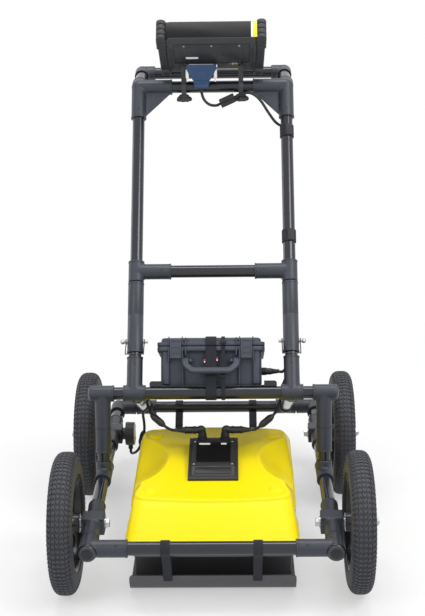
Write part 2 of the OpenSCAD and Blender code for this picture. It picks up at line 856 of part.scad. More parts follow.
module odometer_case() color("black") from_middle()
  mirror([1, 0, 0]) translate([0, rear_axle_y, axle_z]) difference() {
    union() {
      along_x() rod(odometer_neck_r, odometer_face - odometer_neck_len - over, odometer_face);
      along_x() rod(odometer_r, odometer_face - odometer_neck_len - odometer_t,
        odometer_face - odometer_neck_len);
      translate([odometer_face - odometer_neck_len - odometer_t / 2, 0, 0])
        rotate([180, 0, 0]) rod(odometer_boss_r, 0, odometer_r + odometer_boss_len);
    }
    along_x() rod(axle_r + run, odometer_face - odometer_shaft_in - butt, odometer_face + over);
  }

// Battery tray and case

module battery_tray() color("black") from_middle() case_frame() {
  translate([-tray_w / 2, tray_front, tray_z]) cube([tray_w, tray_l, tray_t]);
  for (side = [-1, 1], y = [tray_l * 0.45, tray_l * 0.8])
    translate([side > 0 ? tray_w / 2 - over : -handle_x, y, tray_z])
      cube([handle_x - tray_w / 2 + over, tray_lug_l, tray_t]);
  for (side = [0, 1]) mirror([side, 0, 0])
    translate([tray_w / 2 - tray_ear_w, tray_front + tray_t, tray_z + tray_t - over])
      rotate([90, 0, 0]) linear_extrude(tray_t) {
        square([tray_ear_w - tray_ear_r, tray_ear_h + over]);
        square([tray_ear_w, tray_ear_h + over - tray_ear_r]);
        translate([tray_ear_w - tray_ear_r, tray_ear_h + over - tray_ear_r]) circle(tray_ear_r);
      }
}

module in_case(height) {
  case_frame() translate([case_x, case_d / 2, height]) children();
}

module case_ring(height, w, d, inner_w, inner_d, r) {
  difference() {
    rounded_plate(w, d, height, r);
    translate([0, 0, -over]) rounded_plate(inner_w, inner_d, height + 2 * over, r - case_wall);
  }
}

// A lid hinge's leaf: a round knuckle and a web to the rim above it (up = 1) or below it (up = -1)
module at_hinge(side, shift) {
  case_frame() translate([case_x + side * hinge_x + shift, hinge_y, hinge_z]) children();
}

module hinge_leaf(width, up) {
  seam = (lid_z - case_split_z) / 2;
  along_x() rod(hinge_knuckle_r, -width / 2, width / 2);
  translate([-width / 2, -hinge_out - over, up > 0 ? seam : -hinge_knuckle_r])
    cube([width, hinge_out + over, hinge_knuckle_r - seam]);
}

module case_base() color("dimgray") from_middle() {
  cavity_w = case_body_w - 2 * case_wall;
  cavity_d = case_body_d - 2 * case_wall;
  difference() {
    union() {
      in_case(case_z) rounded_plate(case_body_w, case_body_d, case_base_h, case_corner_r);
      in_case(case_split_z - case_rim_h) rounded_plate(case_w, case_d, case_rim_h, case_corner_r);
      for (side = [-1, 1])
        case_frame() translate([case_x + side * handle_ear_x - handle_ear_t / 2, 0, handle_pin_z])
          rotate([90, 0, 90]) linear_extrude(handle_ear_t) {
            circle(handle_pin_r * 2);
            translate([0, -handle_pin_r * 2]) square([case_rim + over, handle_pin_r * 4]);
          }
      for (side = [-1, 1], ear = [-1, 1])
        at_hinge(side, ear * (hinge_w + hinge_ear_t + 2 * face_gap) / 2) hinge_leaf(hinge_ear_t, -1);
    }
    for (side = [-1, 1]) at_hinge(side, 0) along_x() rod(hinge_pin_r + run, -hinge_w, hinge_w);
    in_case(case_z + case_wall) rounded_plate(cavity_w, cavity_d, case_base_h, case_corner_r - case_wall);
    case_frame() translate([case_x, handle_pin_y, handle_pin_z]) along_x()
      rod(handle_pin_r + run, -handle_ear_x - handle_ear_t, handle_ear_x + handle_ear_t);
  }
}

module case_seal() color("black") from_middle() in_case(case_split_z)
  case_ring(seal_t, case_body_w - 2 * seal_inset, case_body_d - 2 * seal_inset,
    case_body_w - 2 * (case_wall - seal_inset), case_body_d - 2 * (case_wall - seal_inset),
    case_corner_r - seal_inset);

module case_lid() color("dimgray") from_middle() {
  difference() {
    union() {
      in_case(lid_z) rounded_plate(case_body_w, case_body_d, case_lid_h, case_corner_r);
      in_case(lid_z) rounded_plate(case_w, case_d, case_rim_h, case_corner_r);
      for (side = [-1, 1], ear = [-1, 1]) case_frame()
        translate([case_x + side * latch_x + ear * (latch_w / 2 + latch_ear_t / 2 + face_gap)
          - latch_ear_t / 2, 0, lid_z]) rotate([90, 0, 90]) linear_extrude(latch_ear_t) {
            translate([latch_pin_y, latch_pin_z - lid_z]) circle(latch_knuckle_r);
            translate([latch_pin_y - latch_knuckle_r, 0])
              square([case_rim + over, latch_pin_z - lid_z]);
          }
      for (side = [-1, 1]) at_hinge(side, 0) {
        hinge_leaf(hinge_w, 1);
        along_x() rod(hinge_pin_r, -hinge_w / 2 - hinge_ear_t, hinge_w / 2 + hinge_ear_t);
      }
    }
    in_case(lid_z - over) rounded_plate(case_body_w - 2 * case_wall, case_body_d - 2 * case_wall,
      case_lid_h - case_wall + over, case_corner_r - case_wall);
    for (side = [-1, 1]) case_frame() translate([case_x + side * latch_x, latch_pin_y, latch_pin_z])
      along_x() rod(latch_pin_r + run, -latch_w, latch_w);
    for (side = [-1, 1]) case_frame() translate([case_x + side * latch_x - latch_w / 2 - face_gap,
      -case_rim, latch_pin_z - latch_knuckle_r - face_gap])
      cube([latch_w + 2 * face_gap, case_rim + latch_pin_y + latch_knuckle_r + face_gap, case_lid_h]);
  }
}

module latch(side) color("dimgray") from_middle() case_frame()
  translate([case_x + side * latch_x, latch_pin_y, latch_pin_z]) {
    along_x() rod(latch_knuckle_r, -latch_w / 2, latch_w / 2);
    along_x() rod(latch_pin_r, -latch_w / 2 - latch_ear_t, latch_w / 2 + latch_ear_t);
    plate_y = -latch_pin_y - face_gap - latch_t;
    translate([-latch_w / 2, plate_y, -latch_drop]) cube([latch_w, latch_t, latch_drop]);
    translate([-latch_w / 2, plate_y, -latch_knuckle_r]) cube([latch_w, -plate_y, latch_knuckle_r]);
  }

module latch_left() latch(-1);
module latch_right() latch(1);

module battery_pack() color("steelblue") from_middle() case_frame()
  translate([case_x + case_body_w / 2 - case_wall - battery_side - battery_w,
    case_rim + case_wall + battery_front, case_z + case_wall]) cube([battery_w, battery_d, battery_h]);

module case_handle() color("dimgray") from_middle() case_frame()
  translate([case_x, handle_pin_y, handle_pin_z]) {
    arm_y = handle_grip_y - handle_pin_y;
    arm_z = handle_grip_z - handle_pin_z;
    arm_x = handle_ear_x - handle_ear_t / 2 - handle_arm_r - face_gap;
    grip_x = arm_x * handle_grip_share;
    arm_len = norm([arm_x - grip_x, arm_y, arm_z]);
    both_sides() {
      along_x() rod(handle_pin_r, arm_x - handle_arm_r, handle_ear_x + handle_ear_t / 2);
      translate([arm_x, 0, 0]) sphere(handle_arm_r);
      translate([arm_x, 0, 0]) rotate([0, acos(arm_z / arm_len), atan2(arm_y, grip_x - arm_x)])
        rod(handle_arm_r - fit, 0, arm_len);
      translate([grip_x, arm_y, arm_z]) sphere(handle_grip_r + fit);
    }
    translate([0, arm_y, arm_z]) along_x() rod(handle_grip_r, -grip_x, grip_x);
  }

// The wide strap holds the case and its tray to the upper crossbar
module case_strap() color("black") from_middle() case_frame() {
  front_y = -strap_gap;
  below = -tube_r - strap_gap;
  rear_y = case_d + strap_gap;
  under_z = tray_z - strap_gap;
  translate([case_x, 0, 0]) {
    strip([[front_y, case_split_z - case_rim_h / 4], [front_y, case_split_z - case_rim_h],
      [below, tube_r / 3], [below, -tube_r / 3], [-tube_r / 2, below], [tube_r / 2, below],
      [tube_r + strap_gap, -tube_r / 3], [tube_r + 3 * strap_gap, under_z - strap_gap],
      [tube_r * 2, under_z], [tray_l + tray_front + strap_gap, under_z],
      [tray_l + tray_front + strap_gap, case_z + tray_t], [rear_y, case_split_z - case_rim_h],
      [rear_y, case_split_z - case_rim_h / 4]], -strap_t, strap_w);
  }
}

module lid_strap() color("black") from_middle() case_frame() translate([case_x, 0, 0]) {
  front_y = -strap_gap;
  rear_y = case_d + strap_gap;
  strip([[front_y, lid_z + case_rim_h / 4], [front_y, lid_z + case_rim_h],
    [case_rim, lid_top_z + strap_gap], [case_d - case_rim, lid_top_z + strap_gap],
    [rear_y, lid_z + case_rim_h], [rear_y, lid_z + case_rim_h / 4]], strap_t, strap_w);
}

module power_plug() color("black") from_middle() case_frame()
  translate([case_x + case_body_w / 2, plug_y, plug_z]) along_x() {
    rod(plug_r, 0, plug_len * 0.6);
    translate([0, 0, plug_len * 0.6]) cylinder(r1 = plug_r, r2 = lead_r * 1.3, h = plug_len * 0.4);
  }

// Leads that the frame holds

module frame_leads() color("black") from_middle() {
  lead([upright_point(lead_top_at, lead_back), upright_point((lead_low_at + lead_top_at) / 2, lead_back),
    upright_point(lead_low_at, lead_back)]);
  translate([handle_x, 0, 0]) handle_frame()
    translate([-splitter_w / 2, lead_back - splitter_t / 2, splitter_low])
      cube([splitter_w, splitter_t, splitter_len]);
  lead(power_route);
  lead(frame_route_right);
  lead(odometer_route_low);
  ferrite(odometer_route_low[len(odometer_route_low) - 1], odometer_route_high[0]);
  lead(odometer_route_high);
}

// Antenna

module in_antenna(height) {
  translate([0, antenna_y, height]) children();
}

module shell_hull(inset) {
  deck_l = antenna_len * deck_len_share - 2 * inset;
  deck_w = antenna_w * deck_w_share - 2 * inset;
  rim_l = antenna_len - 2 * inset;
  rim_w = antenna_w - 2 * inset;
  r = shell_corner_r;
  hull() {
    for (sx = [-1, 1], sy = [-1, 1]) {
      translate([sx * (rim_w / 2 - r), sy * (rim_l / 2 - r), shell_rim_z - inset])
        cylinder(r = r, h = shell_rim_h, $fn = hull_fn);
      translate([sx * (deck_w / 2 - r), sy * (deck_l / 2 - r), deck_z - inset - r / 4])
        cylinder(r1 = r, r2 = r * 0.8, h = r / 4, $fn = hull_fn);
    }
    for (sy = [-1, 1]) translate([0, sy * (deck_l / 2 + deck_bow - r), deck_z - inset - r / 4])
      cylinder(r1 = r, r2 = r * 0.8, h = r / 4, $fn = hull_fn);
  }
}

module antenna_shell() color("gold") from_middle() in_antenna(0) {
  difference() {
    union() {
      difference() {
        shell_hull(0);
        for (side = [-1, 1]) translate([side * scoop_x, 0, deck_z + scoop_up]) sphere(scoop_r, $fn = 96);
      }
      translate([0, 0, shell_rim_z])
        rounded_plate(antenna_w + 2 * shell_rim_out, antenna_len + 2 * shell_rim_out, shell_rim_h / 2,
          shell_corner_r);
    }
    difference() {
      shell_hull(shell_wall);
      for (side = [-1, 1]) translate([side * scoop_x, 0, deck_z + scoop_up])
        sphere(scoop_r + shell_wall, $fn = 96);
    }
  }
  for (sx = [-1, 1], sy = [-1, 1]) translate([sx * boss_x, sy * boss_y, deck_z - shell_wall / 2])
    cylinder(r1 = boss_r, r2 = boss_r * 0.85, h = boss_h + shell_wall / 2);
}

// The base is a tub under the shell, with a flange that the shell's rim stands on
module base_block(inset) {
  top_y = antenna_len / 2 - base_end - inset;
  half = [[top_y, shell_rim_z + (inset > 0 ? over : 0)],
    [top_y - base_recess * 0.3, shell_rim_z * 0.62],
    [top_y - base_recess * 0.75, shell_rim_z * 0.32],
    [top_y - base_recess, base_foot_z + inset]];
  outline = concat(half, [for (i = [len(half) - 1 : -1 : 0]) [-half[i][0], half[i][1]]]);
  rotate([90, 0, 90]) translate([0, 0, inset - base_half_w]) linear_extrude(2 * (base_half_w - inset))
    polygon(outline);
}

module antenna_base() color("black") from_middle() in_antenna(0) difference() {
  union() {
    base_block(0);
    translate([0, 0, shell_rim_z - base_wall]) rounded_plate(antenna_w, antenna_len, base_wall, shell_corner_r);
  }
  base_block(base_wall);
}

// Transmitter and receiver: a pair of bow-tie plates on the floor of the base
module antenna_elements() color("goldenrod") from_middle() in_antenna(base_foot_z + base_wall)
  for (sy = [-1, 1], sx = [-1, 1]) translate([0, sy * antenna_len * 0.15, 0])
    linear_extrude(element_t) polygon([[sx * antenna_w * 0.025, -antenna_len * 0.015],
      [sx * antenna_w * 0.36, -antenna_len * 0.1], [sx * antenna_w * 0.36, antenna_len * 0.1],
      [sx * antenna_w * 0.025, antenna_len * 0.015]]);

module skid_tray() color("black") from_middle() in_antenna(skid_z) difference() {
  lip = [for (t = [0 : 15 : 75]) [skid_floor_half + lip_reach * sin(t), lip_rise * (1 - cos(t))]];
  line = concat([for (i = [len(lip) - 1 : -1 : 0]) [-lip[i][0], lip[i][1]]], lip);
  strip(line, skid_t, 2 * skid_half_w);
  for (sx = [-1, 1], sy = [-1, 1])
    translate([sx * strap_x, sy * slot_y, slot_z]) cube([slot_w, lip_reach / 2, slot_h], center = true);
}

module radar_module() color("black") from_middle() translate([0, module_y, deck_z])
  rotate([90, 0, 90]) translate([0, 0, -module_w / 2]) linear_extrude(module_w)
    polygon([[-module_l / 2, 0], [module_l / 2, 0], [module_l / 2, module_back_h],
      [module_l / 2 - module_back_h, module_back_h], [-module_l / 2, module_front_h]]);

module sensor_plugs() color("black") from_middle() both_sides()
  translate([sensor_plug_x, sensor_plug_y, sensor_plug_z]) {
    rod(sensor_plug_r - fit, deck_z + module_back_h - sensor_plug_z, 0);
    sphere(sensor_plug_r + fit);
    along_x() rod(sensor_plug_r, 0, sensor_plug_body);
    along_x() translate([0, 0, sensor_plug_body])
      cylinder(r1 = sensor_plug_r, r2 = lead_r * 1.2, h = sensor_plug_tail);
  }

// One webbing loop over a crossbar, down through the slot in the skid's lip
module hanging_strap(bar_y, side_y) {
  ring_r = tube_r + 2 * face_gap;
  drop = [antenna_y + side_y * slot_y - bar_y, skid_z + slot_z - axle_z];
  length = norm(drop) + hanging_strap_tail;
  translate([-hanging_strap_w / 2, bar_y, axle_z]) rotate([90, 0, 90]) linear_extrude(hanging_strap_w)
    difference() {
      union() {
        circle(ring_r + strap_t);
        rotate(atan2(drop[0], -drop[1])) translate([-strap_t / 2, -length]) square([strap_t, length]);
      }
      circle(ring_r);
    }
}

module hanging_straps() color("black") from_middle() both_sides() translate([strap_x, 0, 0]) {
  hanging_strap(front_bar_y, -1);
  hanging_strap(rear_bar_y, 1);
}

module sensor_leads() color("black") from_middle() {
  lead(sensor_route_right_low);
  ferrite(sensor_route_right_low[len(sensor_route_right_low) - 1], sensor_route_right_high[0]);
  lead(sensor_route_right_high);
  lead(sensor_route_left_low);
  ferrite(sensor_route_left_low[len(sensor_route_left_low) - 1], sensor_route_left_high[0]);
  lead(sensor_route_left_high);
}

// Display

module display_plate(w, h, t, r) {
  rotate([-90, 0, 0]) rounded_plate(w, h, t, r);
}

module display_housing() color("dimgray") from_middle() display_frame() difference() {
  translate([0, display_back, display_mid_z]) display_plate(display_w, display_h, display_t, display_r);
  translate([-bay_half_w, display_back - over, display_foot - over])
    cube([2 * bay_half_w, bay_d + over, bay_h + over]);
  translate([0, display_back - over, panel_z]) display_plate(panel_w, panel_h, panel_t + over, display_r / 3);
  translate([0, display_back + display_t - screen_t, display_mid_z])
    display_plate(display_w - 2 * screen_margin, display_h - 2 * screen_margin, screen_t + over, display_r / 3);
}

module display_back_panel() color("black") from_middle() display_frame()
  translate([0, display_back, panel_z])
    display_plate(panel_w - 2 * face_gap, panel_h - 2 * face_gap, panel_t, display_r / 3);

module display_grips() color("black") from_middle() display_frame() both_sides()
  translate([display_w / 2 + grip_w / 2, display_back - grip_front, display_mid_z])
    display_plate(grip_w, display_h + 2 * grip_over, display_t + 2 * grip_front, grip_w * 0.4);

module display_screen() color("darkslategray") from_middle() display_frame()
  translate([0, display_back + display_t - screen_t, display_mid_z])
    display_plate(display_w - 2 * screen_margin - 2 * face_gap, display_h - 2 * screen_margin - 2 * face_gap,
      screen_t, display_r / 3);

module data_plug() color("steelblue") from_middle() display_frame()
  translate([hood_x, display_back, display_foot + bay_h]) {
    tilt = -hood_lean - display_lean;
    shoulder = hood_len * hood_shoulder_share;
    difference() {
      rotate([tilt, 0, 0]) rotate([90, 0, 0]) translate([0, 0, -hood_t / 2]) linear_extrude(hood_t)
        polygon([[-hood_top_w / 2, hood_t], [hood_top_w / 2, hood_t], [hood_top_w / 2, -shoulder],
          [hood_end_w / 2, -hood_len], [-hood_end_w / 2, -hood_len], [-hood_top_w / 2, -shoulder]]);
      translate([-hood_top_w, -hood_len, -face_gap]) cube([2 * hood_top_w, 2 * hood_len, hood_len]);
    }
  }

module display_clamps() color("black") from_middle() display_frame() for (side = [-1, 1])
  translate([side * clamp_x - clamp_w / 2, 0, 0]) difference() {
    union() {
      along_x() cylinder(r = clamp_r, h = clamp_w);
      rotate([90, 0, 90]) linear_extrude(clamp_w) polygon([[0, 0], [clamp_r - over, 0],
        [display_back, display_foot], [display_back, display_foot + clamp_pad_h],
        [display_back - clamp_pad_t, display_foot + clamp_pad_h], [-clamp_r / 3, clamp_r / 2]]);
      rotate([-display_lean, 0, 0]) translate([0, -knob_forward - clamp_w / 2, -knob_drop])
        cube([clamp_w, clamp_w, knob_drop]);
    }
    along_x() rod(tube_r + run, -over, clamp_w + over);
    rotate([-display_lean, 0, 0]) translate([clamp_w / 2, -knob_forward, 0])
      rod(knob_stud_r + run, -knob_drop - over, -tube_r / 2);
  }

module knob(side) color("black") from_middle() at_top_bar()
  translate([side * clamp_x, -knob_forward, -knob_drop - face_gap]) {
    rod(knob_r - knob_lobe_r / 2, -knob_t, 0);
    rod(knob_stud_r, -knob_t / 2, knob_stud_len);
    for (i = [0 : knob_lobes - 1]) rotate([0, 0, 360 * i / knob_lobes])
      translate([knob_r - knob_lobe_r, 0, -knob_t]) cylinder(r = knob_lobe_r, h = knob_t);
  }

module knob_left() knob(-1);
module knob_right() knob(1);

module display_lead() color("black") from_middle() {
  lead(display_route_a);
  ferrite(display_route_a[len(display_route_a) - 1], display_route_b[0]);
  lead(display_route_b);
}

rail_tubes();
cross_tubes();
strut_tubes();
front_corner_fittings();
axle_blocks();
axle_bolts();
wheel_bearings();
post_fittings();
rear_fittings();
handle_base_tees();
handle_sleeves();
upright_tubes();
handle_mid_tees();
handle_cross_tubes();
handle_corner_fittings();
push_bar_tubes();
push_bar_elbows();
lock_pins();
cable_straps();
battery_tray();
case_base();
case_seal();
battery_pack();
case_strap();
power_plug();
frame_leads();
odometer_case();
case_lid();
lid_strap();
latch_left();
latch_right();
case_handle();
bail_left();
bail_right();
tyre_front_left();
tyre_front_right();
tyre_rear_left();
tyre_rear_right();
rim_front_left();
rim_front_right();
rim_rear_left();
rim_rear_right();
odometer_axle();
antenna_shell();
antenna_base();
antenna_elements();
skid_tray();
radar_module();
sensor_plugs();
hanging_straps();
sensor_leads();
display_housing();
display_back_panel();
display_grips();
display_screen();
data_plug();
display_clamps();
knob_left();
knob_right();
display_lead();
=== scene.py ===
# %% [markdown]
# # A ground survey cart, dressed
# The CAD frame already holds every piece at its real size, and every joint. This lesson dresses
# that frame: it keeps the solids whose shape is right, gives each one a finish, and models the
# shells, tyres, fittings, straps and leads whose real form needs a mesh.
#
# Sizes are in millimetres. A finished mesh is turned into metres in one place. Only the camera, the
# finishes and the lamps are given in metres from the start.

# %% Load the frame
import json
import math
from functools import partial
import bmesh
import bpy
from mathutils import Matrix, Vector

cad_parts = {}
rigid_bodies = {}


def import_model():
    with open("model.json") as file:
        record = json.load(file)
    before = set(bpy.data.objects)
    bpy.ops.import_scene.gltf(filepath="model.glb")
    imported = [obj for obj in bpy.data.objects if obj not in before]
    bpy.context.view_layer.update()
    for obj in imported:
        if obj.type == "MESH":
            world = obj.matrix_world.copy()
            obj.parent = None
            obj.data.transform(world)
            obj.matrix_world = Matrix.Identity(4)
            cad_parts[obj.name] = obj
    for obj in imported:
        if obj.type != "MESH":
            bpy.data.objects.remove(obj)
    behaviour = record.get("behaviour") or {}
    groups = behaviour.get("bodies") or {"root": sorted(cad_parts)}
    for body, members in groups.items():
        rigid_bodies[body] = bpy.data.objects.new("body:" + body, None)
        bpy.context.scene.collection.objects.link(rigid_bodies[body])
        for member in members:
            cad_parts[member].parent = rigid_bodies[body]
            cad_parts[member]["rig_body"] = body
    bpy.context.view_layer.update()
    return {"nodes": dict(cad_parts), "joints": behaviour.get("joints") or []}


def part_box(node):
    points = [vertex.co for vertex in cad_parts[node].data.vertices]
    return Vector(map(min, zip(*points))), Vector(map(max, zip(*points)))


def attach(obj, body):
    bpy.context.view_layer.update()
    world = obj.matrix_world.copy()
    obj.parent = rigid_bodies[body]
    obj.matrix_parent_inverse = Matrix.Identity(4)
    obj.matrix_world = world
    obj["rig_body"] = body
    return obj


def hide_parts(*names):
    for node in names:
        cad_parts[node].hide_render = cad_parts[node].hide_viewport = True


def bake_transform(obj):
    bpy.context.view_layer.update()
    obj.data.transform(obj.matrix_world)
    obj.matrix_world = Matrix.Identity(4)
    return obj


METRE = 1000

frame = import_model()
nodes = frame["nodes"]
joint_at = {j["name"]: METRE * Vector(j["pos_m"]) for j in frame["joints"] if "pos_m" in j}

# %% [markdown]
# Everything is placed from a few real sizes and from the joints. The handle, the case and the
# display each lean, so each gets its own leaning frame: X stays level, and Z leans back.

# %% Sizes and leaning frames
TUBE_R = 15
SLEEVE_R = 19
STEM_R = 18.8
WHEEL_R = 156
TYRE_W = 52
RIM_R = 108
HALF_BASE = 240
RAIL_X = 261
HANDLE_X = 186
HANDLE_LEAN = 35
PIN_UP = 126
BRACE_DROP = 27.2611
POST_LEAN = 12.3
PUSH_RISE = 7
DISPLAY_LEAN = 50
CAP_TO_FRONT_BAR = 29
REAR_FITTING_R = 19.5
ANTENNA_FORWARD = 20


def leaning(origin, back):
    """A frame at origin whose Z axis leans back by so many degrees."""
    return Matrix.Translation(origin) @ Matrix.Rotation(math.radians(-back), 4, "X")


def shifted(place, x=0.0, y=0.0, z=0.0):
    """The same place, moved along its own axes."""
    return place @ Matrix.Translation((x, y, z))


def put_in_scene(name, data):
    thing = bpy.data.objects.new(name, data)
    bpy.context.scene.collection.objects.link(thing)
    return thing


AXLE_Z = joint_at["front_left_spin"].z
MID_Y = joint_at["front_left_spin"].y + HALF_BASE
FRONT_BAR_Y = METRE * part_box("front_corner_fittings")[0].y + CAP_TO_FRONT_BAR
REAR_BAR_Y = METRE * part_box("rear_fittings")[1].y - REAR_FITTING_R
handle_up = Vector((0, math.sin(math.radians(HANDLE_LEAN)), math.cos(math.radians(HANDLE_LEAN))))
pin_at = joint_at["bail_left_swing"]
upper_bar = Vector((0, pin_at.y, pin_at.z)) - PIN_UP * handle_up
top_bar = joint_at["display_tilt"].copy()
handle = leaning(upper_bar, HANDLE_LEAN)
case = leaning(upper_bar, BRACE_DROP)
display = leaning(top_bar, -DISPLAY_LEAN)
antenna_mid = Vector((0, MID_Y - ANTENNA_FORWARD, 0))
print("upper bar", [round(v, 1) for v in upper_bar], "top bar", [round(v, 1) for v in top_bar])

# %% [markdown]
# ## Camera
# The camera stands where the photographer stood: about 2.7 m in front of the cart's middle and
# 1.48 m up, looking a little down. Its matrix is built from yaw, pitch and roll, so each can be read here.

# %% Camera
EYE = Vector((0.0545, -2.866848, 1.4784))
YAW, PITCH, ROLL = -0.0192, 0.32, -0.0138
LENS_MM = 74.32
SENSOR_MM = 36

ahead = Vector((math.sin(YAW), math.cos(YAW), 0))
level = Vector((math.cos(YAW), -math.sin(YAW), 0))
forward = ahead * math.cos(PITCH) - Vector((0, 0, math.sin(PITCH)))
upward = level.cross(forward)
right = math.cos(ROLL) * level + math.sin(ROLL) * upward
up = -math.sin(ROLL) * level + math.cos(ROLL) * upward
lens = bpy.data.cameras.new("photo_camera")
lens.sensor_fit = "VERTICAL"
lens.sensor_height = SENSOR_MM
lens.lens = LENS_MM
camera = put_in_scene("photo_camera", lens)
camera.matrix_world = Matrix.Translation(EYE) @ Matrix((right, up, -forward)).transposed().to_4x4()
bpy.context.scene.camera = camera
print("camera looks along", [round(v, 3) for v in forward])

# %% [markdown]
# ## Shared finishes
# Four effects recur on this cart, so each is a node group: an uneven tone that shifts colour and
# roughness, a moulded grain that gives height, dust that settles on what faces up, and a weave.

# %% Node group helpers
def new_group(name, inputs, outputs):
    """An empty node group, with what it is given and what it has to put out."""
    group = bpy.data.node_groups.new(name, "ShaderNodeTree")
    for label, kind, value in inputs:
        socket = group.interface.new_socket(label, in_out="INPUT", socket_type=kind)
        if value is not None:
            socket.default_value = value
    for label, kind in outputs:
        group.interface.new_socket(label, in_out="OUTPUT", socket_type=kind)
    given = group.nodes.new("NodeGroupInput").outputs
    result = group.nodes.new("NodeGroupOutput").inputs
    return group, given, result


def feed(tree, slot, value):
    """Give a socket a plain value, or link it to another node's output."""
    if isinstance(value, (int, float, tuple)):
        slot.default_value = value
    elif value is not None:
        tree.links.new(value, slot)


def math_node(tree, kind, a, b=None, clamp=False):
    node = tree.nodes.new("ShaderNodeMath")
    node.operation = kind
    node.use_clamp = clamp
    for slot, value in zip(node.inputs, (a, b)):
        feed(tree, slot, value)
    return node.outputs[0]


def noise_node(tree, vector, scale, detail=3.0):
    node = tree.nodes.new("ShaderNodeTexNoise")
    node.inputs["Detail"].default_value = detail
    feed(tree, node.inputs["Vector"], vector)
    feed(tree, node.inputs["Scale"], scale)
    return node.outputs["Fac"]


def mix_node(tree, factor, a, b, blend="MIX"):
    node = tree.nodes.new("ShaderNodeMix")
    node.data_type = "RGBA"
    node.blend_type = blend
    for slot, value in ((node.inputs[0], factor), (node.inputs[6], a), (node.inputs[7], b)):
        feed(tree, slot, value)
    return node.outputs[2]


def bump_node(tree, height, distance):
    node = tree.nodes.new("ShaderNodeBump")
    feed(tree, node.inputs["Height"], height)
    feed(tree, node.inputs["Distance"], distance)
    return node.outputs["Normal"]


# %% Tone, grain and dust groups
COLOR, FLOAT, VECTOR = "NodeSocketColor", "NodeSocketFloat", "NodeSocketVector"

tone_group, given, result = new_group(
    "uneven_tone",
    [("Vector", VECTOR, None), ("Color", COLOR, (0.5, 0.5, 0.5, 1)), ("Amount", FLOAT, 0.1),
     ("Scale", FLOAT, 20.0), ("Roughness", FLOAT, 0.5), ("Spread", FLOAT, 0.1)],
    [("Color", COLOR), ("Roughness", FLOAT)])
tone_math = partial(math_node, tone_group)
broad = noise_node(tone_group, given["Vector"], given["Scale"], 4.0)
swing = tone_math("MULTIPLY", tone_math("SUBTRACT", broad, 0.5), 2.0)
swing_share = tone_math("MULTIPLY", swing, given["Amount"])
gain = tone_math("ADD", swing_share, 1.0)
scaled = tone_group.nodes.new("ShaderNodeVectorMath")
scaled.operation = "SCALE"
tone_group.links.new(given["Color"], scaled.inputs[0])
tone_group.links.new(gain, scaled.inputs["Scale"])
tone_group.links.new(scaled.outputs[0], result["Color"])
shift = tone_math("MULTIPLY", swing, given["Spread"])
tone_group.links.new(tone_math("ADD", shift, given["Roughness"], True), result["Roughness"])

grain_group, given, result = new_group(
    "moulded_grain", [("Vector", VECTOR, None), ("Scale", FLOAT, 900.0)], [("Height", FLOAT)])
grain_math = partial(math_node, grain_group)
cells = grain_group.nodes.new("ShaderNodeTexVoronoi")
grain_group.links.new(given["Vector"], cells.inputs["Vector"])
grain_group.links.new(given["Scale"], cells.inputs["Scale"])
fine = noise_node(grain_group, given["Vector"], given["Scale"])
pebble = grain_math("MULTIPLY", cells.outputs["Distance"], 0.6)
grain_group.links.new(grain_math("ADD", pebble, fine), result["Height"])

dust_group, given, result = new_group(
    "settled_dust",
    [("Vector", VECTOR, None), ("Color", COLOR, None), ("Dust", COLOR, (0.3, 0.28, 0.25, 1)),
     ("Amount", FLOAT, 0.1)], [("Color", COLOR)])
dust_math = partial(math_node, dust_group)
facing = dust_group.nodes.new("ShaderNodeNewGeometry")
split = dust_group.nodes.new("ShaderNodeSeparateXYZ")
dust_group.links.new(facing.outputs["Normal"], split.inputs[0])
patches = noise_node(dust_group, given["Vector"], 35.0, 6.0)
upward_mask = dust_math("MAXIMUM", split.outputs["Z"], 0.15)
mask = dust_math("MULTIPLY", dust_math("MULTIPLY", patches, upward_mask), given["Amount"], True)
dust_group.links.new(mix_node(dust_group, mask, given["Color"], given["Dust"]), result["Color"])
print("groups:", [g.name for g in bpy.data.node_groups])

# %% [markdown]
# Webbing is a plain weave: each thread passes over one and under the next. In UV, measured in
# metres, a checker picks which thread is on top, and a sine gives that thread its round back.

# %% Weave group
WEAVE_PITCH = 0.0016
weave_group, given, result = new_group(
    "plain_weave", [("UV", VECTOR, None), ("Pitch", FLOAT, WEAVE_PITCH)],
    [("Height", FLOAT), ("Shade", FLOAT)])
weave_math = partial(math_node, weave_group)
parts = weave_group.nodes.new("ShaderNodeSeparateXYZ")
weave_group.links.new(given["UV"], parts.inputs[0])
run_x, run_y = [weave_math("DIVIDE", parts.outputs[axis], given["Pitch"]) for axis in ("X", "Y")]
cell = weave_math("ADD", weave_math("FLOOR", run_x), weave_math("FLOOR", run_y))
over = weave_math("FLOORED_MODULO", cell, 2.0)


def round_back(run):
    """A thread's round back: the size of a sine that has one half wave for each pitch."""
    wave = weave_math("SINE", weave_math("MULTIPLY", run, math.pi))
    return weave_math("ABSOLUTE", wave)


warp, weft = round_back(run_x), round_back(run_y)
warp_up = weave_math("MULTIPLY", warp, over)
weft_up = weave_math("MULTIPLY", weft, weave_math("SUBTRACT", 1.0, over))
thread = weave_math("ADD", warp_up, weft_up)
weave_group.links.new(thread, result["Height"])
# Painted shade: the yarn is darkened where a thread sinks between its neighbours, and lit a little on its
# round back.
shade = weave_math("ADD", weave_math("MULTIPLY", thread, 0.6), 0.55)
weave_group.links.new(shade, result["Shade"])
print("weave group has", len(weave_group.nodes), "nodes")

# %% [markdown]
# Most of the cart is moulded plastic, paint or rubber, and those differ in colour, gloss, grain
# and dust only. So one function makes them all, and each finish is one call with its own values.

# %% Moulded finishes
def put_group(tree, group, **values):
    node = tree.nodes.new("ShaderNodeGroup")
    node.node_tree = group
    for label, value in values.items():
        feed(tree, node.inputs[label], value)
    return node


COAT_ROUGHNESS = 0.08


